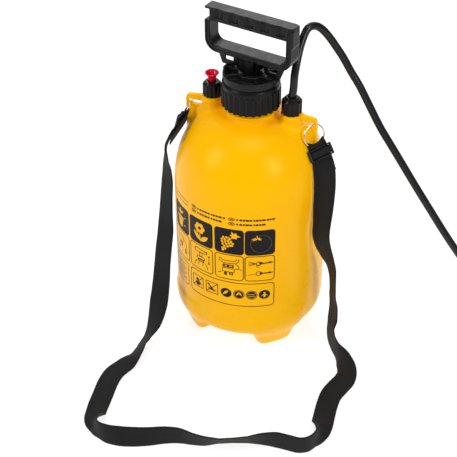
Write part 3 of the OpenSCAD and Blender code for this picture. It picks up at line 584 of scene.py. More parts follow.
# screw thread of the neck, hidden under the cap nut until the pump is lifted out
tv, tf = [], []
N = 300
for i in range(N + 1):
    q = i / N
    a = q * 2 * pi * 3.2
    z = 302.0 + q * 5.5 * 3.2
    grow = min(1.0, min(q, 1 - q) * 30)
    for r, dz in ((28.2, -1.7), (28.6 + 1.4 * grow, -0.55), (28.6 + 1.4 * grow, 0.55), (28.2, 1.7)):
        tv.append((r * cos(a), r * sin(a), z + dz))
for i in range(N):
    for k in range(4):
        a, b = i * 4 + k, i * 4 + (k + 1) % 4
        tf.append((a, b, b + 4, a + 4))
tf.append((3, 2, 1, 0))
tf.append((N * 4, N * 4 + 1, N * 4 + 2, N * 4 + 3))
add_mesh("neck_thread", tv, tf, M_TANK, "root", smooth=False)


# ------------------------------------------------------------------ printed label (thin ink films)
def wrap(name, shapes, off, mat):
    """shapes: list of (outline, holes) in (arc length, height) millimetres on the tank's wall."""
    bm = bmesh.new()
    for outer, holes in shapes:
        loops = [[Vector((x, y, 0)) for x, y in lp] for lp in [outer] + holes]
        tri = tessellate_polygon(loops)
        flat = [v for lp in loops for v in lp]
        vs = [bm.verts.new(v) for v in flat]
        for t in tri:
            try:
                fce = bm.faces.new([vs[k] for k in t])
            except ValueError:
                continue
            if fce.calc_area() < 1e-9:
                bm.faces.remove(fce)
    loose = [v for v in bm.verts if not v.link_faces]
    bmesh.ops.delete(bm, geom=loose, context="VERTS")
    bm.normal_update()
    for fce in bm.faces:
        if fce.normal.z < 0:
            fce.normal_flip()
    bmesh.ops.dissolve_limit(bm, angle_limit=0.001, verts=bm.verts[:], edges=bm.edges[:])
    x0 = min(v.co.x for v in bm.verts)
    x1 = max(v.co.x for v in bm.verts)
    k = floor(x0 / 3.0) + 1
    while k * 3.0 < x1:
        geo = bm.verts[:] + bm.edges[:] + bm.faces[:]
        bmesh.ops.bisect_plane(bm, geom=geo, plane_co=(k * 3.0, 0, 0), plane_no=(1, 0, 0))
        k += 1
    for v in bm.verts:
        v.co.z = off
    ext = bmesh.ops.extrude_face_region(bm, geom=bm.faces[:])
    front = [g for g in ext["geom"] if isinstance(g, bmesh.types.BMVert)]
    fs = set(front)
    for v in bm.verts:
        if v not in fs:
            v.co.z = -0.12
    # the faces left behind are the back of the film
    bmesh.ops.recalc_face_normals(bm, faces=bm.faces[:])
    for v in bm.verts:
        s, z, o = v.co
        R = dome_r(z) + o
        th = s / 90.0
        v.co = Vector((R * sin(th), -R * cos(th), z)) * 0.001
    bmesh.ops.recalc_face_normals(bm, faces=bm.faces[:])
    me = bpy.data.meshes.new(name)
    bm.to_mesh(me)
    bm.free()
    me.materials.append(mat)
    o = bpy.data.objects.new(name, me)
    scene.collection.objects.link(o)
    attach(o, "root")
    return o


def rrect(cx, cy, w, h, r, n=6):
    pts = []
    for sx, sy, a0 in ((1, 1, 0), (-1, 1, 90), (-1, -1, 180), (1, -1, 270)):
        for i in range(n + 1):
            a = radians(a0 + 90 * i / n)
            pts.append((cx + sx * (w / 2 - r) + r * cos(a), cy + sy * (h / 2 - r) + r * sin(a)))
    return pts


def disc(cx, cy, r, n=28, ry=None, ang=0.0):
    ry = ry or r
    ca, sa = cos(radians(ang)), sin(radians(ang))
    return [(cx + r * cos(2 * pi * i / n) * ca - ry * sin(2 * pi * i / n) * sa,
             cy + r * cos(2 * pi * i / n) * sa + ry * sin(2 * pi * i / n) * ca) for i in range(n)]


def stroke(pts, w):
    """A drawn line of width w through pts, square ends."""
    pts = [np.asarray(p, float) for p in pts]
    L, Rr = [], []
    for i, p in enumerate(pts):
        a = pts[max(i - 1, 0)]
        b = pts[min(i + 1, len(pts) - 1)]
        t = unit(b - a)
        n = np.array([-t[1], t[0]]) * w / 2
        if 0 < i < len(pts) - 1:
            t1, t2 = unit(p - a), unit(b - p)
            c = max(0.5, sqrt(max(0.0, (1 + t1.dot(t2)) / 2)))
            n = n / c
        L.append(tuple(p + n))
        Rr.append(tuple(p - n))
    return (L + Rr[::-1], [])


def outline(poly_out, poly_in):
    return (poly_out, [poly_in[::-1]])


def frame_box(cx, cy, w, h, r, t):
    return outline(rrect(cx, cy, w, h, r), rrect(cx, cy, w - 2 * t, h - 2 * t, max(r - t, 0.3)))


def at(cx, cy, shapes, k=1.0):
    return [([(cx + x * k, cy + y * k) for x, y in o], [[(cx + x * k, cy + y * k) for x, y in h] for h in hs])
            for o, hs in shapes]


def leaf(x0, y0, x1, y1, w, n=9):
    """Pointed leaf between two tips."""
    a, b = np.array((x0, y0), float), np.array((x1, y1), float)
    t = b - a
    nrm = np.array([-t[1], t[0]]) / np.linalg.norm(t)
    up = [tuple(a + t * q + nrm * w * sin(pi * q) ** 0.85) for q in np.linspace(0, 1, n)]
    dn = [tuple(a + t * q - nrm * w * 0.75 * sin(pi * q) ** 0.85) for q in np.linspace(1, 0, n)][1:-1]
    return (up + dn, [])


COLS = {"pot": -67.5, "flower": -29.9, "grape": 7.8, "tomato": 44.0}
ZI, ZL = 168.5, 130.8            # centres of the picture row and of the drawing row
dark, paint, lines, faint = [], [], [], []
for key, sc in COLS.items():
    dark.append((rrect(sc, ZI, 35.4, 36.0, 4.6), []))
    lines.append(frame_box(sc, ZL, 35.4, 37.0, 4.6, 1.05))

# flower: six round petals round a dark eye, stem and two leaves
petals = []
blob = []
for i in range(72):
    a = 2 * pi * i / 72
    blob.append((-1.0 + (6.6 + 1.7 * abs(cos(3 * a)) ** 0.8 - 0.6) * cos(a), 5.2 + (6.6 + 1.7 * abs(cos(3 * a)) ** 0.8 - 0.6) * sin(a)))
petals.append((blob, [disc(-1.0, 5.2, 2.4, 20)[::-1]]))
petals += [leaf(-10.5, -1.0, 0.2, -12.6, 3.3), leaf(0.4, -12.9, 11.0, -3.8, 3.5), stroke([(-0.9, -2.0), (-0.2, -8.0), (0.3, -12.6)], 1.0)]
paint += at(COLS["flower"], ZI, petals)

# grapes: a hanging bunch of round berries and a lobed leaf
gr = []
berries = [(-6.6, 6.2), (-2.4, 6.6), (1.4, 4.4), (-8.6, 2.6), (-4.5, 2.9), (-0.6, 1.4), (3.6, 0.6), (5.6, -2.4), (-8.3, -1.3), (-4.3, -1.0),
           (1.0, -2.4), (-2.6, -4.4), (-7.4, -5.2), (2.2, -6.2), (-1.0, -8.2), (-5.2, -8.4), (-7.6, -11.6), (4.8, -6.0), (-4.2, -12.2), (-7.2, -15.0)]
for k, (x0, y0) in enumerate(berries):
    gr.append((disc(x0 * 0.9 - 0.6, y0 * 0.86 - 0.4, 1.62 if k % 3 else 1.45, 16, 1.5 if k % 2 else 1.6), []))
lf = [(3.4, 4.2), (3.2, 7.6), (0.9, 9.2), (3.4, 10.4), (2.9, 14.6), (6.2, 12.0), (9.0, 13.6), (9.2, 10.6), (14.2, 8.2), (9.6, 7.2),
      (9.2, 4.2), (6.4, 5.4)]
gr.append((lf, []))
gr.append(stroke([(3.8, 5.6), (1.4, 4.8), (-0.6, 6.6)], 0.8))
paint += at(COLS["grape"], ZI, gr)

# tomato: thin ring with a small starry calyx
tm = [outline(disc(1.2, -1.6, 12.4, 48, 12.6), disc(1.2, -1.6, 12.0, 48, 12.2))]
faint += at(COLS["tomato"], ZI, tm)
star = []
for i, (ang, ln) in enumerate(((175, 6.8), (150, 4.6), (92, 6.6), (45, 4.4), (8, 5.2), (-20, 5.6), (200, 6.6))):
    a = radians(ang)
    star.append(leaf(-3.4, 5.6, -3.4 + ln * cos(a), 5.6 + ln * sin(a) * 0.85, 0.62, 6))
paint += at(COLS["tomato"], ZI, star)

# plant pot: a rim, a tapered pot and a sprout
pt = [(rrect(-1.5, -0.2, 15.5, 3.6, 0.8), []),
      ([(-7.6, -2.6), (4.6, -2.6), (2.8, -13.2), (-5.8, -13.2)], []),
      stroke([(-1.5, 1.6), (-1.2, 6.5)], 0.9),
      leaf(-1.4, 5.4, -8.2, 9.6, 1.9), leaf(-1.0, 5.8, 5.8, 10.6, 1.9), leaf(-1.2, 6.5, -1.0, 13.5, 1.6),
      (disc(8.6, -8.2, 1.1, 12), []), (disc(9.4, 3.4, 0.9, 12), [])]
paint += at(COLS["pot"], ZI, pt)

# drawing row: simple hand-drawn steps of use
W1 = 0.85


def ring(cx, cy, r, w=W1, n=22, ry=None):
    ry = ry or r
    return outline(disc(cx, cy, r, n, ry), disc(cx, cy, r - w, n, ry - w))


pump = [stroke([(-9, 7.6), (-9.6, 12.0), (-6.8, 13.6), (7.0, 11.4), (9.6, 12.6), (9.2, 8.6)], 1.1),
        stroke([(-9, 7.6), (9.2, 8.4)], 0.8),
        frame_box(0, 4.6, 5.0, 6.4, 0.8, W1),
        frame_box(0, -0.6, 13.0, 4.2, 1.0, 0.8),
        (rrect(0, -4.6, 10.6, 3.6, 0.7), [rrect(0, -4.6, 7.0, 1.2, 0.4)[::-1]]),
        stroke([(-6.4, -6.6), (-9.6, -10.6), (-10.6, -15.0)], W1), stroke([(6.4, -6.6), (9.6, -10.6), (10.6, -15.0)], W1),
        stroke([(-3.4, -6.6), (-3.6, -12.6)], 0.8), stroke([(3.4, -6.6), (3.0, -11.6)], 0.8),
        ([(12.6, 4.2), (14.6, 7.2), (10.6, 7.2)], []), stroke([(12.6, 4.4), (12.6, -3.6)], 0.8),
        ([(12.6, -6.2), (14.6, -3.2), (10.6, -3.2)], [])]
turn = [stroke([(-12.6, 13.0), (-11.6, 8.0), (-7.0, 5.6), (8.6, 6.6), (12.4, 10.8), (12.6, 14.2)], 0.9),
        stroke([(-11.0, 13.4), (-8.6, 9.6), (8.0, 10.2), (10.4, 13.6)], W1),
        (rrect(-1.0, 1.6, 14.0, 5.0, 1.2), [rrect(-4.0, 1.6, 3.0, 2.0, 0.5)[::-1], rrect(2.2, 1.6, 3.6, 2.0, 0.5)[::-1]]),
        frame_box(-1.0, -4.8, 16.0, 6.4, 1.2, 0.8),
        (rrect(-4.4, -10.6, 3.6, 5.4, 0.8), []), (rrect(2.6, -10.0, 5.2, 4.0, 0.8), [rrect(2.6, -10.0, 2.6, 1.6, 0.4)[::-1]]),
        stroke([(7.0, -2.4), (12.0, -1.2), (16.2, -2.4)], W1), stroke([(9.0, 6.0), (12.6, 2.0), (10.8, -2.4)], W1),
        stroke([(-14.6, -11.6), (-9.6, -8.6)], W1)]
fill = [frame_box(-2.5, 5.6, 12.0, 9.0, 1.6, 0.7), stroke([(-8.4, 9.6), (-11.8, 13.0)], 0.9), stroke([(3.0, 8.6), (10.6, 5.0), (11.4, -3.4)], 0.8),
        (rrect(-2.5, -2.2, 8.0, 5.6, 1.0), [rrect(-2.5, -2.2, 4.6, 2.4, 0.5)[::-1]]),
        (rrect(9.6, -8.4, 5.0, 6.6, 1.4), [rrect(9.6, -8.4, 2.4, 3.4, 0.6)[::-1]]),
        stroke([(-4.6, -5.4), (-7.6, -13.4)], W1), stroke([(-0.6, -5.4), (1.8, -13.6)], W1), stroke([(-12.6, -9.6), (-3.6, -9.0)], W1)]
nozz = [ring(-1.6, 8.0, 3.4, 0.9), (rrect(1.4, 8.4, 4.4, 3.6, 0.8), []), ring(-2.6, 4.6, 2.0, 0.6),
        stroke([(4.0, 8.4), (10.0, 9.0)], W1), stroke([(4.0, 7.4), (10.0, 7.6)], W1),
        (rrect(12.2, 8.4, 4.6, 2.6, 1.1), []), stroke([(14.6, 8.6), (17.2, 8.0)], 0.8),
        stroke([(-5.0, 8.4), (-14.0, 12.0)], 0.6), stroke([(-5.0, 8.2), (-14.2, 8.0)], 0.6), stroke([(-5.0, 7.8), (-13.6, 4.4)], 0.6),
        stroke([(-5.2, 8.3), (-13.8, 10.0)], 0.45), stroke([(-5.2, 8.0), (-13.8, 6.0)], 0.45),
        ring(-1.4, -7.4, 3.6, 0.9), (rrect(1.8, -7.4, 4.2, 3.4, 0.8), []),
        stroke([(4.4, -7.0), (10.0, -6.6)], W1), stroke([(4.4, -8.0), (10.0, -8.0)], W1),
        (rrect(12.2, -7.4, 4.6, 2.6, 1.1), []), stroke([(14.6, -7.4), (17.2, -7.8)], 0.8),
        stroke([(-5.2, -7.8), (-15.0, -9.8)], 0.7)]
lines += at(COLS["flower"], ZL, pump, 0.95)
lines += at(COLS["grape"], ZL, turn, 0.95)
lines += at(COLS["pot"], ZL, fill, 0.95)
lines += at(COLS["tomato"], ZL, nozz, 0.95)

# bottom row: one wide panel and a narrow one beside it, with plain ornaments
lines.append(frame_box(6.9, 91.0, 110.0, 35.6, 5.2, 1.05))
lines.append(frame_box(-69.0, 91.0, 32.4, 35.6, 5.2, 1.05))
for sc in (-35.4, -14.6):
    lines.append(frame_box(sc, 92.6, 17.0, 17.0, 0.6, 0.95))
    lines.append(stroke([(sc - 8.2, 84.4), (sc + 8.2, 100.8)], 0.95))
dark += at(-35.4, 92.6, [(disc(-0.8, 2.6, 2.2, 16), []), ([(-3.6, -0.4), (1.8, -0.4), (3.0, -6.2), (-3.0, -6.2)], []), leaf(1.0, 0.4, 5.6, -4.6, 1.2)])
dark += at(-14.6, 92.6, [leaf(-6.0, -1.6, 6.4, -4.2, 1.7), leaf(-5.0, 4.0, 1.6, -2.4, 1.3), (disc(-4.6, 3.8, 1.5, 12), [])])
for sc in (4.0, 19.5, 34.6, 49.8):
    dark.append((disc(sc, 91.3, 6.8, 36), []))
paint += at(4.0, 91.3, [leaf(-3.6, -3.0, 2.8, 3.8, 1.9), stroke([(-4.6, -4.0), (-3.2, -2.6)], 0.7)])
paint += at(19.5, 91.3, [outline(disc(0, 0, 6.0, 32), disc(0, 0, 5.5, 32)), leaf(0, 3.6, -3.2, -2.0, 1.2), leaf(0, 3.6, 3.2, -2.0, 1.2)])
paint += at(34.6, 91.3, [outline(disc(0, 0, 6.0, 32), disc(0, 0, 5.5, 32)), stroke([(-4.0, 1.4), (-2.0, 0.2), (0, 1.4), (2.0, 0.2), (4.0, 1.4)], 0.7),
                         stroke([(-4.0, -1.6), (-2.0, -2.8), (0, -1.6), (2.0, -2.8), (4.0, -1.6)], 0.7)])
paint += at(49.8, 91.3, [(disc(0, 2.6, 1.3, 12), []), ([(-1.6, 0.9), (1.6, 0.9), (1.0, -4.4), (-1.0, -4.4)], []), leaf(1.4, 0.6, 3.8, -2.6, 0.5), leaf(-1.4, 0.6, -3.8, -2.6, 0.5)])
# plain rules instead of the lines of words over the pictures and in the narrow panel
for s0, s1, z, d in ((16.5, 60.0, 200.4, 4.4), (16.5, 50.5, 194.2, 4.4), (-34.0, 2.6, 200.2, 4.4), (-34.0, 0.0, 194.6, 4.4)):
    lines.append((disc(s0 - 5.4, z, 3.9, 22, 2.3), [disc(s0 - 5.4, z, 2.9, 18, 1.5)[::-1]]))
    lines.append((rrect(s0 - 5.4, z, 3.4, 1.5, 0.5, 3), []))
    x = s0
    k = 0
    while x < s1:
        wd = (2.3, 3.4, 2.8, 4.2, 3.0)[k % 5]
        lines.append((rrect(x + wd / 2, z, wd, 2.5, 0.9, 3), []))
        x += wd + (0.45 if k % 4 else 1.2)
        k += 1
for z in (200.2, 194.8):
    lines.append((rrect(-67.0, z, 34.0, 0.8, 0.3, 2), []))
for k, z in enumerate((103.0, 100.4, 97.8, 95.2, 92.6, 90.0, 87.4, 84.8, 82.2, 79.6)):
    lines.append((rrect(-69.0 + (-2.0 if k % 3 == 1 else 0.0), z, 22.0 - (5.0 if k % 3 == 1 else 0.0), 0.8, 0.3, 2), []))

for nm, sh, off, mt in (("label_dark", dark, 0.055, M_INK), ("label_lines", lines, 0.055, M_LINE),
                        ("label_faint", faint, 0.085, M_THIN), ("label_light", paint, 0.10, M_SHOW)):
    wrap(nm, sh, off, mt)


# ------------------------------------------------------------------ cap nut, pump head, small nuts
def cap_f(X, Y, Z):
    rho = np.hypot(X, Y)
    th = np.arctan2(Y, X)
    d = cyl(X, Y, Z, 0, 0, 32.3, 301, 326.2, 0.8)
    st = 2 * pi / 28
    ph = np.round(th / st) * st
    px, py = rho * np.cos(th - ph) - 31.1, rho * np.sin(th - ph)
    rib = smax(np.hypot(px, py) - 2.95, np.abs(Z - 312.3) - 11.3, 0.4)
    d = smin(d, rib, 0.5)
    top = poly2(rho, Z, [(0, 324), (32.9, 324), (32.9, 328.6), (32.4, 329.6), (30.6, 331.5), (0, 331.5)])
    d = smin(d, top, 0.9)
    inner = np.minimum(rho - 30.4 + 0 * Z, 1e9)
    cav = smax(rho - 30.45 + 0 * Z, np.abs(Z - 314.35) - 15.35, 0.3)
    hole = rho - 27.0 + 0 * Z
    d = smax(d, -cav, 0.3)
    d = smax(d, -hole, 0.5)
    return d


P, Q = skin(cap_f, (-34.2, -34.2, 301), (34.2, 34.2, 331.5), 0.8)
o = add_mesh("cap_nut_body", P, Q, M_NUT, "cap_nut")
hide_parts("cap_nut")

YAW = -10.0
CY, SY = cos(radians(YAW)), sin(radians(YAW))


def to_local(X, Y):
    """plan coordinates along and across the handle"""
    return X * CY + Y * SY, -X * SY + Y * CY


def head_f(X, Y, Z):
    U, V = to_local(X, Y)
    rho = np.hypot(X, Y)
    d = cyl(X, Y, Z, 0, 0, 32, 331.8, 340.5, 1.2)
    dish = smax(cyl(X, Y, Z, 0, 0, 29.6, 333.4, 350, 0.8), -cyl(X, Y, Z, 0, 0, 15.4, 330, 340.4, 0.8), 0.5)
    d = smax(d, -dish, 0.8)
    lug = thick(poly2(np.abs(U), Z, [(20, 332), (34.5, 332), (34.5, 338), (32.5, 340.6), (26, 340.6), (20, 337)]), V, -4.25, 4.25, 0.5)
    web = box(np.abs(U), V, Z, (14, -4.25, 332), (30, 4.25, 340.5), 0.5)
    d = smin(d, np.minimum(lug, web), 0.8)
    # four stiffening webs in the dish
    for a in (45, 135):
        ca, sa = cos(radians(a)), sin(radians(a))
        u2, v2 = U * ca + V * sa, -U * sa + V * ca
        d = smin(d, box(np.abs(u2), v2, Z, (14, -0.9, 333), (30, 0.9, 339.2), 0.4), 0.6)
    well = np.minimum(cyl(X, Y, Z, 0, 0, 13.2, 333.5, 338.0, 0.2), cyl(X, Y, Z, 0, 0, 9.6, 333.5, 345, 0.2))
    fan = np.maximum(np.maximum(np.abs(U) - np.abs(V) * 0.4, rho - 13.2), np.abs(Z - 341) - 4.2)
    well = np.minimum(well, fan)
    d = smax(d, -well, 0.4)
    d = smax(d, -cyl(X, Y, Z, 0, 0, 6.1, 320, 350, 0), 0.4)
    return d


P, Q = skin(head_f, (-35, -35, 331.8), (35, 35, 341), 0.7)
o = add_mesh("pump_head_body", P, Q, M_BLACK, "pump_unit")
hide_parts("pump_head")


def ribbed_f(rho, th, Z, r, z0, z1, n, rib, rd=0.7):
    st = 2 * pi / n
    ph = np.round(th / st) * st
    px, py = rho * np.cos(th - ph) - (r - rib), rho * np.sin(th - ph)
    flat = smin(rho - (r - rib * 0.7), np.hypot(px, py) - rib, 0.5)
    a = flat + rd
    b = np.abs(Z - 0.5 * (z0 + z1)) - 0.5 * (z1 - z0) + rd
    return np.minimum(np.maximum(a, b), 0) + np.hypot(np.maximum(a, 0), np.maximum(b, 0)) - rd


def relief_nut_f(X, Y, Z):
    x, y = X + 48, Y - 2
    rho, th = np.hypot(x, y), np.arctan2(y, x)
    d = ribbed_f(rho, th, Z, 11.0, 300, 314.6, 14, 1.35)
    d = smin(d, poly2(rho, Z, [(0, 310), (10.0, 310), (10.0, 314.6), (9.4, 315.6), (8.3, 317), (0, 317)]), 0.8)
    d = smax(d, -smax(rho - 8.9 + 0 * Z, np.abs(Z - 305) - 6.8, 0.3), 0.3)
    return smax(d, -(rho - 4.6 + 0 * Z), 0.5)


P, Q = skin(relief_nut_f, (-59.2, -9.2, 300), (-36.8, 13.2, 317), 0.55)
o = add_mesh("relief_nut_body", P, Q, M_NUT, "root")
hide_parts("relief_nut")


def outlet_nut_f(X, Y, Z):
    x, y = X - 48, Y - 2
    rho, th = np.hypot(x, y), np.arctan2(y, x)
    d = ribbed_f(rho, th, Z, 11.7, 296.8, 313.2, 12, 1.6)
    d = smin(d, poly2(rho, Z, [(0, 310), (10.9, 310), (10.9, 312.9), (9.3, 315), (0, 315)]), 0.8)
    d = smin(d, poly2(rho, Z, [(0, 312), (7.6, 312), (7.6, 316.8), (7.0, 317.4), (0, 317.4)]), 0.8)
    d = smax(d, -smax(rho - 8.9 + 0 * Z, np.abs(Z - 302.4) - 6.6, 0.3), 0.3)
    return smax(d, -(rho - 4.7 + 0 * Z), 0.4)


P, Q = skin(outlet_nut_f, (36.1, -9.9, 296.8), (59.9, 13.9, 317.4), 0.55)
o = add_mesh("outlet_nut_body", P, Q, M_NUT, "root")
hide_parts("outlet_nut")


def lathe(name, prof, cx, cy, mat, body, n=72):
    """Closed profile [(r, z)] turned round a vertical axis; r may touch 0."""
    vs, fs = [], []
    m = len(prof)
    ids = []
    for r, z in prof:
        if r < 1e-6:
            ids.append([len(vs)])
            vs.append((cx, cy, z))
        else:
            ids.append(list(range(len(vs), len(vs) + n)))
            vs += [(cx + r * cos(2 * pi * i / n), cy + r * sin(2 * pi * i / n), z) for i in range(n)]
    for k in range(m):
        a, b = ids[k], ids[(k + 1) % m]
        if len(a) == 1 and len(b) == 1:
            continue
        for i in range(n):
            j = (i + 1) % n
            if len(a) == 1:
                fs.append((a[0], b[j], b[i]))
            elif len(b) == 1:
                fs.append((a[i], a[j], b[0]))
            else:
                fs.append((a[i], a[j], b[j], b[i]))
    return add_mesh(name, vs, fs, mat, body)


# red pull knob: guide plug, stem and trumpet-shaped top with a thin rim
pl = [(0, 294.8), (3.6, 294.8), (3.9, 295.1), (3.9, 296.7), (3.6, 297.0), (2.0, 297.05), (2.0, 317.3), (3.4, 317.3), (3.6, 317.6),
      (3.75, 318.6), (4.15, 320.0), (4.75, 321.8), (5.45, 323.5), (6.25, 325.0), (7.2, 326.5), (8.05, 327.5), (8.2, 327.8), (8.1, 328.05),
      (7.8, 328.1), (7.3, 327.9), (6.3, 326.8), (5.2, 325.2), (4.2, 323.0), (3.3, 321.2), (2.6, 320.6), (0, 320.5)]
o = lathe("relief_knob", pl, -48, 2, M_RED, "relief_plunger")
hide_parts("relief_plunger")


# ------------------------------------------------------------------ handle
def handle_f(U, V, Z):
    outer = rbox2(U, Z, -54.5, 54.5, 357.2, 407.4, 15.0, 1.0)
    inner = rbox2(U, Z, -48, 48, 364.7, 440, 9.0, 1.0)
    # rims stand out at both faces, the web between them is thinner
    ring2 = np.maximum(outer, -inner)
    fr = thick(smax(outer, -inner, 0.3), V, -10, 10, 1.3)
    chan_o = rbox2(U, Z, -52.4, 52.4, 359.3, 440, 13.0, 1.0)
    chan_i = rbox2(U, Z, -50.0, 50.0, 362.6, 440, 10.5, 1.0)
    chan2 = np.maximum(chan_o, -chan_i)
    for s in (-1, 1):
        groove = thick(chan2, V, *( (8.6, 14) if s > 0 else (-14, -8.6) ), 0.2)
        fr = smax(fr, -groove, 0.4)
    notch = box(U, V, Z, (-60, -20, 394.5), (-48.2, 20, 407.3), 0.6)
    fr = smax(fr, -notch, 0.8)
    grip = box(U, V, Z, (-50.5, -7, 392.6), (54.5, 7, 407.6), 2.2)
    for u in (-38, -18.5, 1, 20.5, 40):
        grip = smax(grip, -cyl(U, V, Z, u, -12.6, 8.2, 397.0, 406.4, 1.5), 1.2)
    d = smin(fr, grip, 1.4)
    rc = np.where(U > 0, 6.0, 0.7)
    plate = smax(rbox2(U, V, -55, 56, -8, 7.5, rc, rc), np.abs(Z - 408.35) - 1.15, 0.5)
    for u in (-38, -18.5, 1, 20.5, 40):
        plate = smax(plate, -(np.hypot(U - u, V + 15.6) - 8.3 + 0 * Z), 0.8)
    d = smin(d, plate, 0.7)
    post = box(U, V, Z, (48, -9, 385), (55.5, 9, 407.6), 3.0)
    d = smin(d, post, 1.0)
    au = np.abs(U)
    hook = thick(poly2(au, Z, [(44, 359), (37, 341), (21, 341), (17, 344), (17, 359)]), V, -1.3, 1.3, 0.5)
    hook = smax(hook, -box(au, V, Z, (22.5, -9, 346.6), (33.0, 9, 352.6), 0.4), 0.4)
    d = smin(d, hook, 1.6)
    stem = cyl(U, V, Z, 0, 0, 8.8, 334, 359, 0.6)
    for a in (45, 135):
        ca, sa = cos(radians(a)), sin(radians(a))
        u2, v2 = U * ca + V * sa, -U * sa + V * ca
        stem = smin(stem, thick(poly2(np.abs(u2), Z, [(0, 341), (12, 341), (17, 348), (17, 359), (0, 359)]), v2, -1.2, 1.2, 0.5), 0.9)
    dogs = np.maximum(cyl(U, V, Z, 0, 0, 12.6, 334, 337.6, 0.4), np.abs(U) - np.abs(V) * 0.27)
    stem = np.minimum(stem, dogs)
    d = smin(d, stem, 1.2)
    d = smax(d, -cyl(U, V, Z, 0, 0, 6.05, 320, 357, 0), 0.4)
    return d


P, Q = skin(handle_f, (-55.2, -10.2, 334), (56.2, 10.2, 409.6), 0.72)
rot = np.array([[CY, -SY, 0], [SY, CY, 0], [0, 0, 1]])
P = P @ rot.T
o = add_mesh("handle_body", P, Q, M_HANDLE, "handle")
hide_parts("pump_handle")


# ------------------------------------------------------------------ rings, sliders and strap
def lean(d, n, b):
    return cos(radians(b)) * d + sin(radians(b)) * n


def down(w, n):
    c = np.cross(w, n)
    return c if c[2] < 0 else -c


LC = np.array([-77.5, 1, 274.8])
LN = unit([-0.94, -0.11, 0.32])
LW = perp([0.4, -0.4, 0.83], LN)
LD = down(LW, LN)
RC = np.array([76.7, -1.5, 274.6])
RN = unit([0.75, -0.60, 0.28])
RW = perp([-0.59, -0.80, -0.13], RN)
RD = down(RW, RN)
LD2, LN2 = lean(LD, LN, 10), lean(LN, -LD, 10)
RD2, RN2 = lean(RD, RN, 18), lean(RN, -RD, 18)


def torus(name, c, n, w, body, node):
    x, y = w, np.cross(n, w)
    vs, fs = [], []
    A, B = 120, 20
    for i in range(A):
        a = 2 * pi * i / A
        e = cos(a) * x + sin(a) * y
        for k in range(B):
            b = 2 * pi * k / B
            vs.append(c + e * (13 + 0.9 * cos(b)) + n * 0.9 * sin(b))
    for i in range(A):
        for k in range(B):
            fs.append((i * B + k, ((i + 1) % A) * B + k, ((i + 1) % A) * B + (k + 1) % B, i * B + (k + 1) % B))
    r = add_mesh(name, vs, fs, M_NICKEL, body)
    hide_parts(node)
    return r


torus("wire_ring_left", LC, LN, LW, "ring_left", "ring_left")
torus("wire_ring_right", RC, RN, RW, "ring_right", "ring_right")


def slider_f(X, Y, Z):
    d = smin(box(X, Y, Z, (-15.5, 1.6, 1.3), (15.5, 15.4, 3.9), 0.7),
             box(np.abs(X), Y, Z, (11.5, 2.6, 1.0), (15.5, 14.4, 4.2), 0.9), 0.6)
    d = smax(d, -box(X, Y, Z, (-13, 3.3, -4), (13, 7.6, 9), 0.4), 0.35)
    d = smax(d, -box(X, Y, Z, (-13, 9.4, -4), (13, 13.7, 9), 0.4), 0.35)
    return d


for nm, c, d2, n2 in (("slider_left", LC + 13 * LD, LD2, LN2), ("slider_right", RC + 13 * RD, RD2, RN2)):
    P, Q = skin(slider_f, (-15.6, 1.5, 0.9), (15.6, 15.5, 4.3), 0.42)
    M = np.stack([np.cross(d2, n2), d2, n2], 1)
    o = add_mesh(nm + "_body", P @ M.T + c, Q, M_SLIDER, "root")
    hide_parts(nm)


def loop_pts(c, w, d, n, d2, n2):
    b = c + 13 * d
    out = [(b + p[0] * d2 + p[1] * n2, w, 12.5, 0.0, d2) for p in ((34, -3.2), (22, -2.9), (12, -2.6), (5, -2.4))]
    out.append((b + 1.5 * d2 - 2.2 * n2, w, 11.5, 2.6, d2))
    out += [(b + p[0] * d + p[1] * n, w, 10.0, 4.6, d) for p in ((-0.8, -2.15), (-2.2, -1.6), (-2.9, 0), (-2.2, 1.6), (-0.8, 2.15))]
    out.append((b + 1.4 * d2 + 2.0 * n2, w, 11.5, 2.6, d2))
    out += [(b + p[0] * d2 + p[1] * n2, w, 12.5, 0.0, d2) for p in ((3.4, 0.3), (7.2, 4.8), (9.8, 4.8), (13.6, 0.3), (18, 0))]
    return out


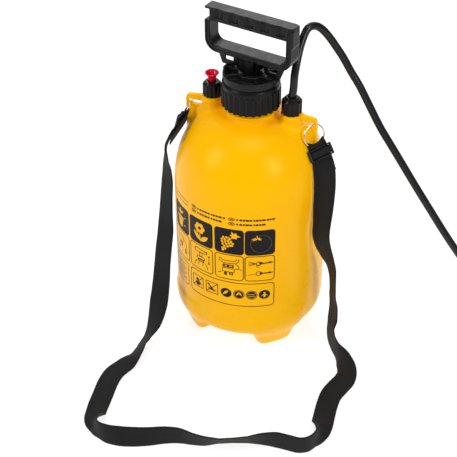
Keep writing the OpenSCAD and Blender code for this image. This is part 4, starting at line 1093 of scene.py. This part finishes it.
STRAP = [
    (-92, -26, 243, 0.3, -0.8, 0.5), (-96, -25, 232, 0.4, -0.7, 0.6), (-97, -24, 218, 0.4, -0.6, 0.6),
    (-96, -26, 205, 0.6, -0.5, 0.6), (-94, -31, 190, 0.7, -0.4, 0.5), (-93, -37, 172, 0.8, -0.4, 0.5),
    (-91, -45, 152, 0.8, -0.3, 0.5), (-89, -53, 131, 0.9, -0.2, 0.4), (-88, -62, 112, 0.9, -0.2, 0.3),
    (-87, -70, 94, 0.9, -0.2, 0.3), (-85, -80, 74, 0.9, -0.1, 0.3), (-84, -92, 50, 0.9, 0, 0.3),
    (-86, -105, 25, 0.8, -0.3, 0.4), (-89, -117, 14, 0.6, -0.6, 0.5), (-92, -130, 9, 0.5, -0.7, 0.5),
    (-93, -145, 6.5, 0.6, -0.7, 0.4), (-98, -160, 3, 0.9, -0.2, 0.1), (-105, -178, 2, 0.9, -0.3, 0),
    (-105, -196, 2, 1, 0, 0), (-102, -214, 2, 1, 0, 0), (-99, -232, 2, 1, 0, 0),
    (-95, -249, 3, 0.9, -0.2, 0.2), (-88, -264, 9, 0.6, -0.3, 0.7), (-79, -275, 12, 0.3, -0.1, 0.9),
    (-66, -279, 13, 0.1, 0.2, 1), (-50, -277, 13, 0, 0.3, 0.9), (-34, -272, 13, 0, 0.3, 1),
    (-18, -265, 13, 0, 0.2, 1), (-3, -257, 13, 0, 0.1, 1), (12, -252, 13, 0.1, 0, 1),
    (28, -251, 13, 0.1, -0.2, 1), (42, -249, 13, 0.1, -0.3, 0.9), (55, -243, 12, 0.2, -0.5, 0.9),
    (70, -236, 12, 0.2, -0.5, 0.9), (85, -229, 12, 0.2, -0.4, 0.9), (100, -223, 13, 0.1, -0.2, 1),
    (115, -219, 13.5, 0.1, 0, 1), (130, -218, 13.5, 0.1, 0, 1), (142, -217, 13.5, 0.1, 0, 1),
    (151, -210, 13, 0, 0, 1), (155, -199, 12.5, -0.1, -0.3, 1), (155, -186, 10, -0.4, -0.5, 0.7),
    (153, -170, 5, -0.8, -0.4, 0.3), (150, -152, 2, -1, -0.2, 0), (148, -136, 2, -1, -0.1, 0),
    (148, -121, 4, -1, 0, 0.1), (152, -107, 5.5, -1, 0, 0.1), (156, -94, 7, -1, -0.1, 0),
    (154, -81, 10, -0.9, 0.2, -0.3), (145, -69, 14, -0.8, 0.4, -0.4), (134, -58, 16, -0.6, 0.6, -0.5),
    (125, -47, 18, -0.5, 0.6, -0.6), (119, -36, 23, -0.5, 0.6, -0.6), (118, -27, 34, -0.6, 0.5, -0.6),
    (117, -22, 50, -0.5, 0.6, -0.6), (115, -22, 70, -0.4, 0.7, -0.6), (114, -24, 92, -0.4, 0.7, -0.6),
    (112, -27, 112, -0.4, 0.6, -0.6), (108, -32, 131, -0.5, 0.5, -0.6), (104, -36, 148, -0.7, 0.4, -0.6),
    (101, -37, 163, -0.8, 0.3, -0.6), (100.5, -35, 179, -0.9, 0.3, -0.4), (100, -31, 197, -0.9, 0.1, -0.3),
    (99.5, -27, 214, -0.9, 0, -0.3), (97.5, -21, 232, -0.9, -0.2, -0.3)]
stations = (loop_pts(LC, LW, LD, LN, LD2, LN2)
            + [(np.array(r[:3], float), unit(r[3:]), 12.5, 0.0, np.array([0, 0, 1.0])) for r in STRAP]
            + loop_pts(RC, RW, RD, RN, RD2, RN2)[::-1])

# a smooth curve through the stations, with everything else carried along
pts = [s[0] for s in stations]
PER = 4
mid = np.array(smooth_path(pts, PER))
data = np.array([[*s[1], s[2], s[3], *s[4]] for s in stations])
# widths keep their sense along the route
for i in range(1, len(data)):
    if data[i, :3].dot(data[i - 1, :3]) < 0:
        data[i, :3] *= -1
fine = np.array([data[min(i // PER, len(data) - 1)] * (1 - (i % PER) / PER)
                 + data[min(i // PER + 1, len(data) - 1)] * ((i % PER) / PER) for i in range(len(mid))])
tan = np.gradient(mid, axis=0)
tan /= np.linalg.norm(tan, axis=1)[:, None]
arc = np.concatenate([[0], np.cumsum(np.linalg.norm(np.diff(mid, axis=0), axis=1))])
# cross-section: slightly thinner woven edges, 12 points on each face
xs = np.linspace(-1, 1, 13)
sec = [(x, 0.75 * (1 - 0.28 * abs(x) ** 14)) for x in xs]
ringp = [(x, t) for x, t in sec] + [(x, -t) for x, t in sec[::-1]]
vs, uvs = [], []
for i in range(len(mid)):
    w = fine[i, :3] - fine[i, :3].dot(tan[i]) * tan[i]
    w /= np.linalg.norm(w)
    nr = np.cross(tan[i], w)
    hw, curl, cd = fine[i, 3], fine[i, 4], fine[i, 5:8]
    for x, t in ringp:
        vs.append(mid[i] + x * hw * w - curl * x * x * cd + t * nr)
        uvs.append((x * 12.5, arc[i]))
q = len(ringp)
fs = []
for i in range(len(mid) - 1):
    for k in range(q):
        a, b = i * q + k, i * q + (k + 1) % q
        fs.append((a, b, b + q, a + q))
fs.append(tuple(range(q))[::-1])
fs.append(tuple((len(mid) - 1) * q + k for k in range(q)))
strap = add_mesh("shoulder_strap", vs, fs, M_WEB, "root")
bm = bmesh.new()
bm.from_mesh(strap.data)
bmesh.ops.recalc_face_normals(bm, faces=bm.faces[:])
lay = bm.loops.layers.uv.new("weave")
bm.verts.ensure_lookup_table()
for fce in bm.faces:
    for lp in fce.loops:
        lp[lay].uv = uvs[lp.vert.index]
bm.to_mesh(strap.data)
bm.free()
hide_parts("strap")

# ------------------------------------------------------------------ trigger gun and lance
GX, GY, GZ = 402.0, -14.0, 12.5


def gun_place(P):
    """gun frame to the row frame: x along the wand, y sideways, z up"""
    return np.stack([GX + P[:, 1], GY - P[:, 0], GZ + P[:, 2]], 1)


shell2 = [(8, -11), (20, -12), (120, -12), (132, -9), (132, 9), (112, 11), (92, 8), (60, 10), (30, 13), (8, 11)]
cav2 = [(20, -9.2), (118, -9.2), (127, -7), (127, 7), (110, 8), (92, 5.2), (60, 7), (30, 10), (20, 9)]


def shell_f(z0, z1):
    def f(X, Y, Z):
        d2 = poly2(X, Y, shell2)
        d = thick(d2, Z, -12.4, 12.4, 3.6)
        # grip hollows on the belly and a raised panel line round the side
        line2 = np.abs(d2 + 4.2) - 0.45
        for s in (-1, 1):
            d = smax(d, -thick(line2, Z, *( (11.9, 16) if s > 0 else (-16, -11.9) ), 0.1), 0.4)
        for k in range(7):
            d = smax(d, -(np.sqrt((X - (38 + 7 * k)) ** 2 + (Y - 13.6) ** 2) - 2.6 + 0 * Z), 0.9)
        d = smax(d, np.abs(Z - 0.5 * (z0 + z1)) - 0.5 * (z1 - z0), 0.3)
        d = smax(d, -thick(poly2(X, Y, cav2), Z, -9, 9, 0.5), 0.3)
        d = smax(d, -smax(np.hypot(Y, Z) - 6.1, X - 30, 0.2), 0.4)
        d = smax(d, -smax(np.hypot(Y, Z) - 7.1, 100 - X, 0.2), 0.4)
        d = smax(d, -box(X, Y, Z, (22, -14, -4.5), (126.8, -4, 4.5), 0.3), 0.4)
        return d
    return f


for nm, z0, z1 in (("gun_shell_lower", -12.4, -0.08), ("gun_shell_upper", 0.08, 12.4)):
    P, Q = skin(shell_f(z0, z1), (7.8, -12.2, z0), (132.2, 13.2, z1), 0.85)
    o = add_mesh(nm + "_body", gun_place(P), Q, M_BLACK, "root")
    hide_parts(nm)


def lever_f(X, Y, Z):
    d = thick(poly2(X, Y, [(24, -25), (28, -28), (60, -26), (100, -19), (122, -12.6), (122, -9.6), (117, -9.8), (112, -11.6), (100, -14.2), (60, -21), (30, -22.5)]), Z, -4.2, 4.2, 1.2)
    d = smin(d, smax(np.hypot(X - 122, Y + 8.5) - 3.4, np.abs(Z) - 4.2, 0.4), 0.8)
    return smax(d, -(np.hypot(X - 122, Y + 8.5) - 1.56 + 0 * Z), 0.2)


P, Q = skin(lever_f, (23.8, -28.2, -4.2), (125.5, -5, 4.2), 0.7)
o = add_mesh("gun_lever_body", gun_place(P), Q, M_BLACK, "gun_lever")
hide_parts("gun_lever")


def turned_f(r, z0, z1, n, rib, tip=None, bores=()):
    """ribbed nut lying along the gun's x axis"""
    def f(X, Y, Z):
        rho, th = np.hypot(Y, Z), np.arctan2(Z, Y)
        d = ribbed_f(rho, th, X, r, z0, z1, n, rib, 0.6)
        if tip:
            d = smin(d, poly2(rho, X, tip), 0.6)
        for rb, b0, b1 in bores:
            d = smax(d, -smax(rho - rb + 0 * X, np.abs(X - 0.5 * (b0 + b1)) - 0.5 * (b1 - b0), 0.2), 0.3)
        return d
    return f


L0 = 139 + 270
for nm, f, lo, hi, body, mt, sl in (
        ("gun_hose_nut", turned_f(9.5, 0, 7.6, 12, 1.1, [(0, 5), (5.8, 5), (5.8, 19), (0, 19)], ((2.6, -3, 25),)), (0, -9.7, -9.7), (19, 9.7, 9.7), "root", M_NUT, "nut_plastic"),
        ("lance_nut", turned_f(10.5, 133, 146, 12, 1.2, [(0, 143), (9, 143), (9, 146), (6.7, 152), (0, 152)], ((7.1, 130, 142), (4.5, 136, 160))), (133, -10.7, -10.7), (152, 10.7, 10.7), "root", M_NUT, "nut_plastic"),
        ("nozzle_body", turned_f(8.0, L0, L0 + 16, 10, 1.0, [(0, L0 + 12), (5, L0 + 12), (5, L0 + 28), (0, L0 + 28)], ((4.5, L0 - 3, L0 + 12), (1.5, L0, L0 + 40))), (L0, -8.2, -8.2), (L0 + 28, 8.2, 8.2), "root", M_NUT, "nut_plastic"),
        ("nozzle_cap", turned_f(8.5, L0 + 17, L0 + 29, 14, 0.9, [(0, L0 + 27), (7.6, L0 + 27), (7.6, L0 + 29), (5.5, L0 + 32), (0, L0 + 32)], ((5.06, L0 + 10, L0 + 29.6), (0.75, L0 + 20, L0 + 40))), (L0 + 17, -8.7, -8.7), (L0 + 32, 8.7, 8.7), "nozzle_cap", M_NUT, "nut_plastic")):
    P, Q = skin(f, lo, hi, 0.55)
    o = add_mesh(nm + "_body", gun_place(P), Q, mt, body)
    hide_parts(nm)

# lance: a drawn tube with rolled ends
n = 48
tube = [(4.5, 139.4), (4.5, 420.6), (4.3, 421.0), (3.2, 421.0), (3.0, 420.7), (3.0, 139.3), (3.2, 139.0), (4.3, 139.0)]
vs, fs = [], []
segs = []
for k, (r, x) in enumerate(tube):
    segs.append((r, x))
full = []
for k in range(len(segs)):
    a, b = segs[k], segs[(k + 1) % len(segs)]
    m = max(1, int(abs(b[1] - a[1]) / 12))
    for i in range(m):
        full.append((a[0] + (b[0] - a[0]) * i / m, a[1] + (b[1] - a[1]) * i / m))
for r, x in full:
    for i in range(n):
        vs.append((x, r * cos(2 * pi * i / n), r * sin(2 * pi * i / n)))
for k in range(len(full)):
    for i in range(n):
        a, b = k * n + i, k * n + (i + 1) % n
        c, d = ((k + 1) % len(full)) * n + i, ((k + 1) % len(full)) * n + (i + 1) % n
        fs.append((a, c, d, b))
o = add_mesh("lance_tube_body", gun_place(np.array(vs)), fs, M_LANCE, "root")
bm = bmesh.new()
bm.from_mesh(o.data)
bmesh.ops.recalc_face_normals(bm, faces=bm.faces[:])
bm.to_mesh(o.data)
bm.free()
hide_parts("lance_tube")

# ------------------------------------------------------------------ CAD pieces that stay
STAY = {
    "relief_seal": M_RUBBER, "relief_body": M_BLACK, "relief_pad": M_RUBBER, "relief_spring": M_STEEL,
    "outlet_seal": M_RUBBER, "outlet_fitting": M_BLACK, "dip_tube": M_CLEAR, "strainer": M_GREY,
    "pump_cylinder": M_GREY, "neck_seal": M_RUBBER, "check_valve": M_RUBBER, "piston": M_BLACK,
    "piston_ring": M_RUBBER, "pump_rod": M_GREY, "rod_clip": M_STEEL, "handle_pin": M_STEEL,
    "gun_screws": M_STEEL, "lever_pin": M_STEEL, "gun_valve_body": M_GREY, "gun_valve_stem": M_STEEL,
    "lever_spring": M_STEEL, "stem_seal": M_RUBBER, "nozzle_seal": M_RUBBER,
}
for nm, mt in STAY.items():
    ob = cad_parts[nm]
    if not ob.material_slots:
        ob.data.materials.append(mt)
    for sl in ob.material_slots:
        sl.material = mt

# ------------------------------------------------------------------ floor and light
me = bpy.data.meshes.new("floor")
me.from_pydata([(-4, -4, -0.0006), (4, -4, -0.0006), (4, 4, -0.0006), (-4, 4, -0.0006)], [], [(0, 1, 2, 3)])
fm, nt, b = new_mat("floor_white")
b.inputs["Base Color"].default_value = (0.34, 0.34, 0.34, 1)
b.inputs["Roughness"].default_value = 0.9
b.inputs["Specular IOR Level"].default_value = 0.0
b.inputs["Emission Color"].default_value = (1, 1, 1, 1)
b.inputs["Emission Strength"].default_value = 0.80
me.materials.append(fm)
floor_ob = bpy.data.objects.new("floor", me)
scene.collection.objects.link(floor_ob)

world = bpy.data.worlds.new("studio")
scene.world = world
world.use_nodes = True
world.node_tree.nodes["Background"].inputs["Color"].default_value = (1, 1, 1, 1)
world.node_tree.nodes["Background"].inputs["Strength"].default_value = 0.24


def softbox(name, loc, aim, sx, sy, watt):
    d = bpy.data.lights.new(name, "AREA")
    d.shape = "RECTANGLE"
    d.size, d.size_y = sx, sy
    d.energy = watt
    ob = bpy.data.objects.new(name, d)
    scene.collection.objects.link(ob)
    ob.location = loc
    ob.rotation_euler = (Vector(aim) - Vector(loc)).to_track_quat("-Z", "Y").to_euler()
    return ob


softbox("back_top", (-0.55, 1.55, 1.45), (0, 0, 0.3), 1.9, 1.0, 18.0)
softbox("key_left", (-1.35, -1.25, 1.35), (0, 0, 0.2), 0.42, 1.0, 17.0)
softbox("key_right", (1.75, -0.95, 1.30), (0, 0, 0.2), 0.42, 1.0, 20.0)
softbox("top", (0.1, -0.2, 2.2), (0, 0, 0.2), 1.0, 1.0, 12.0)
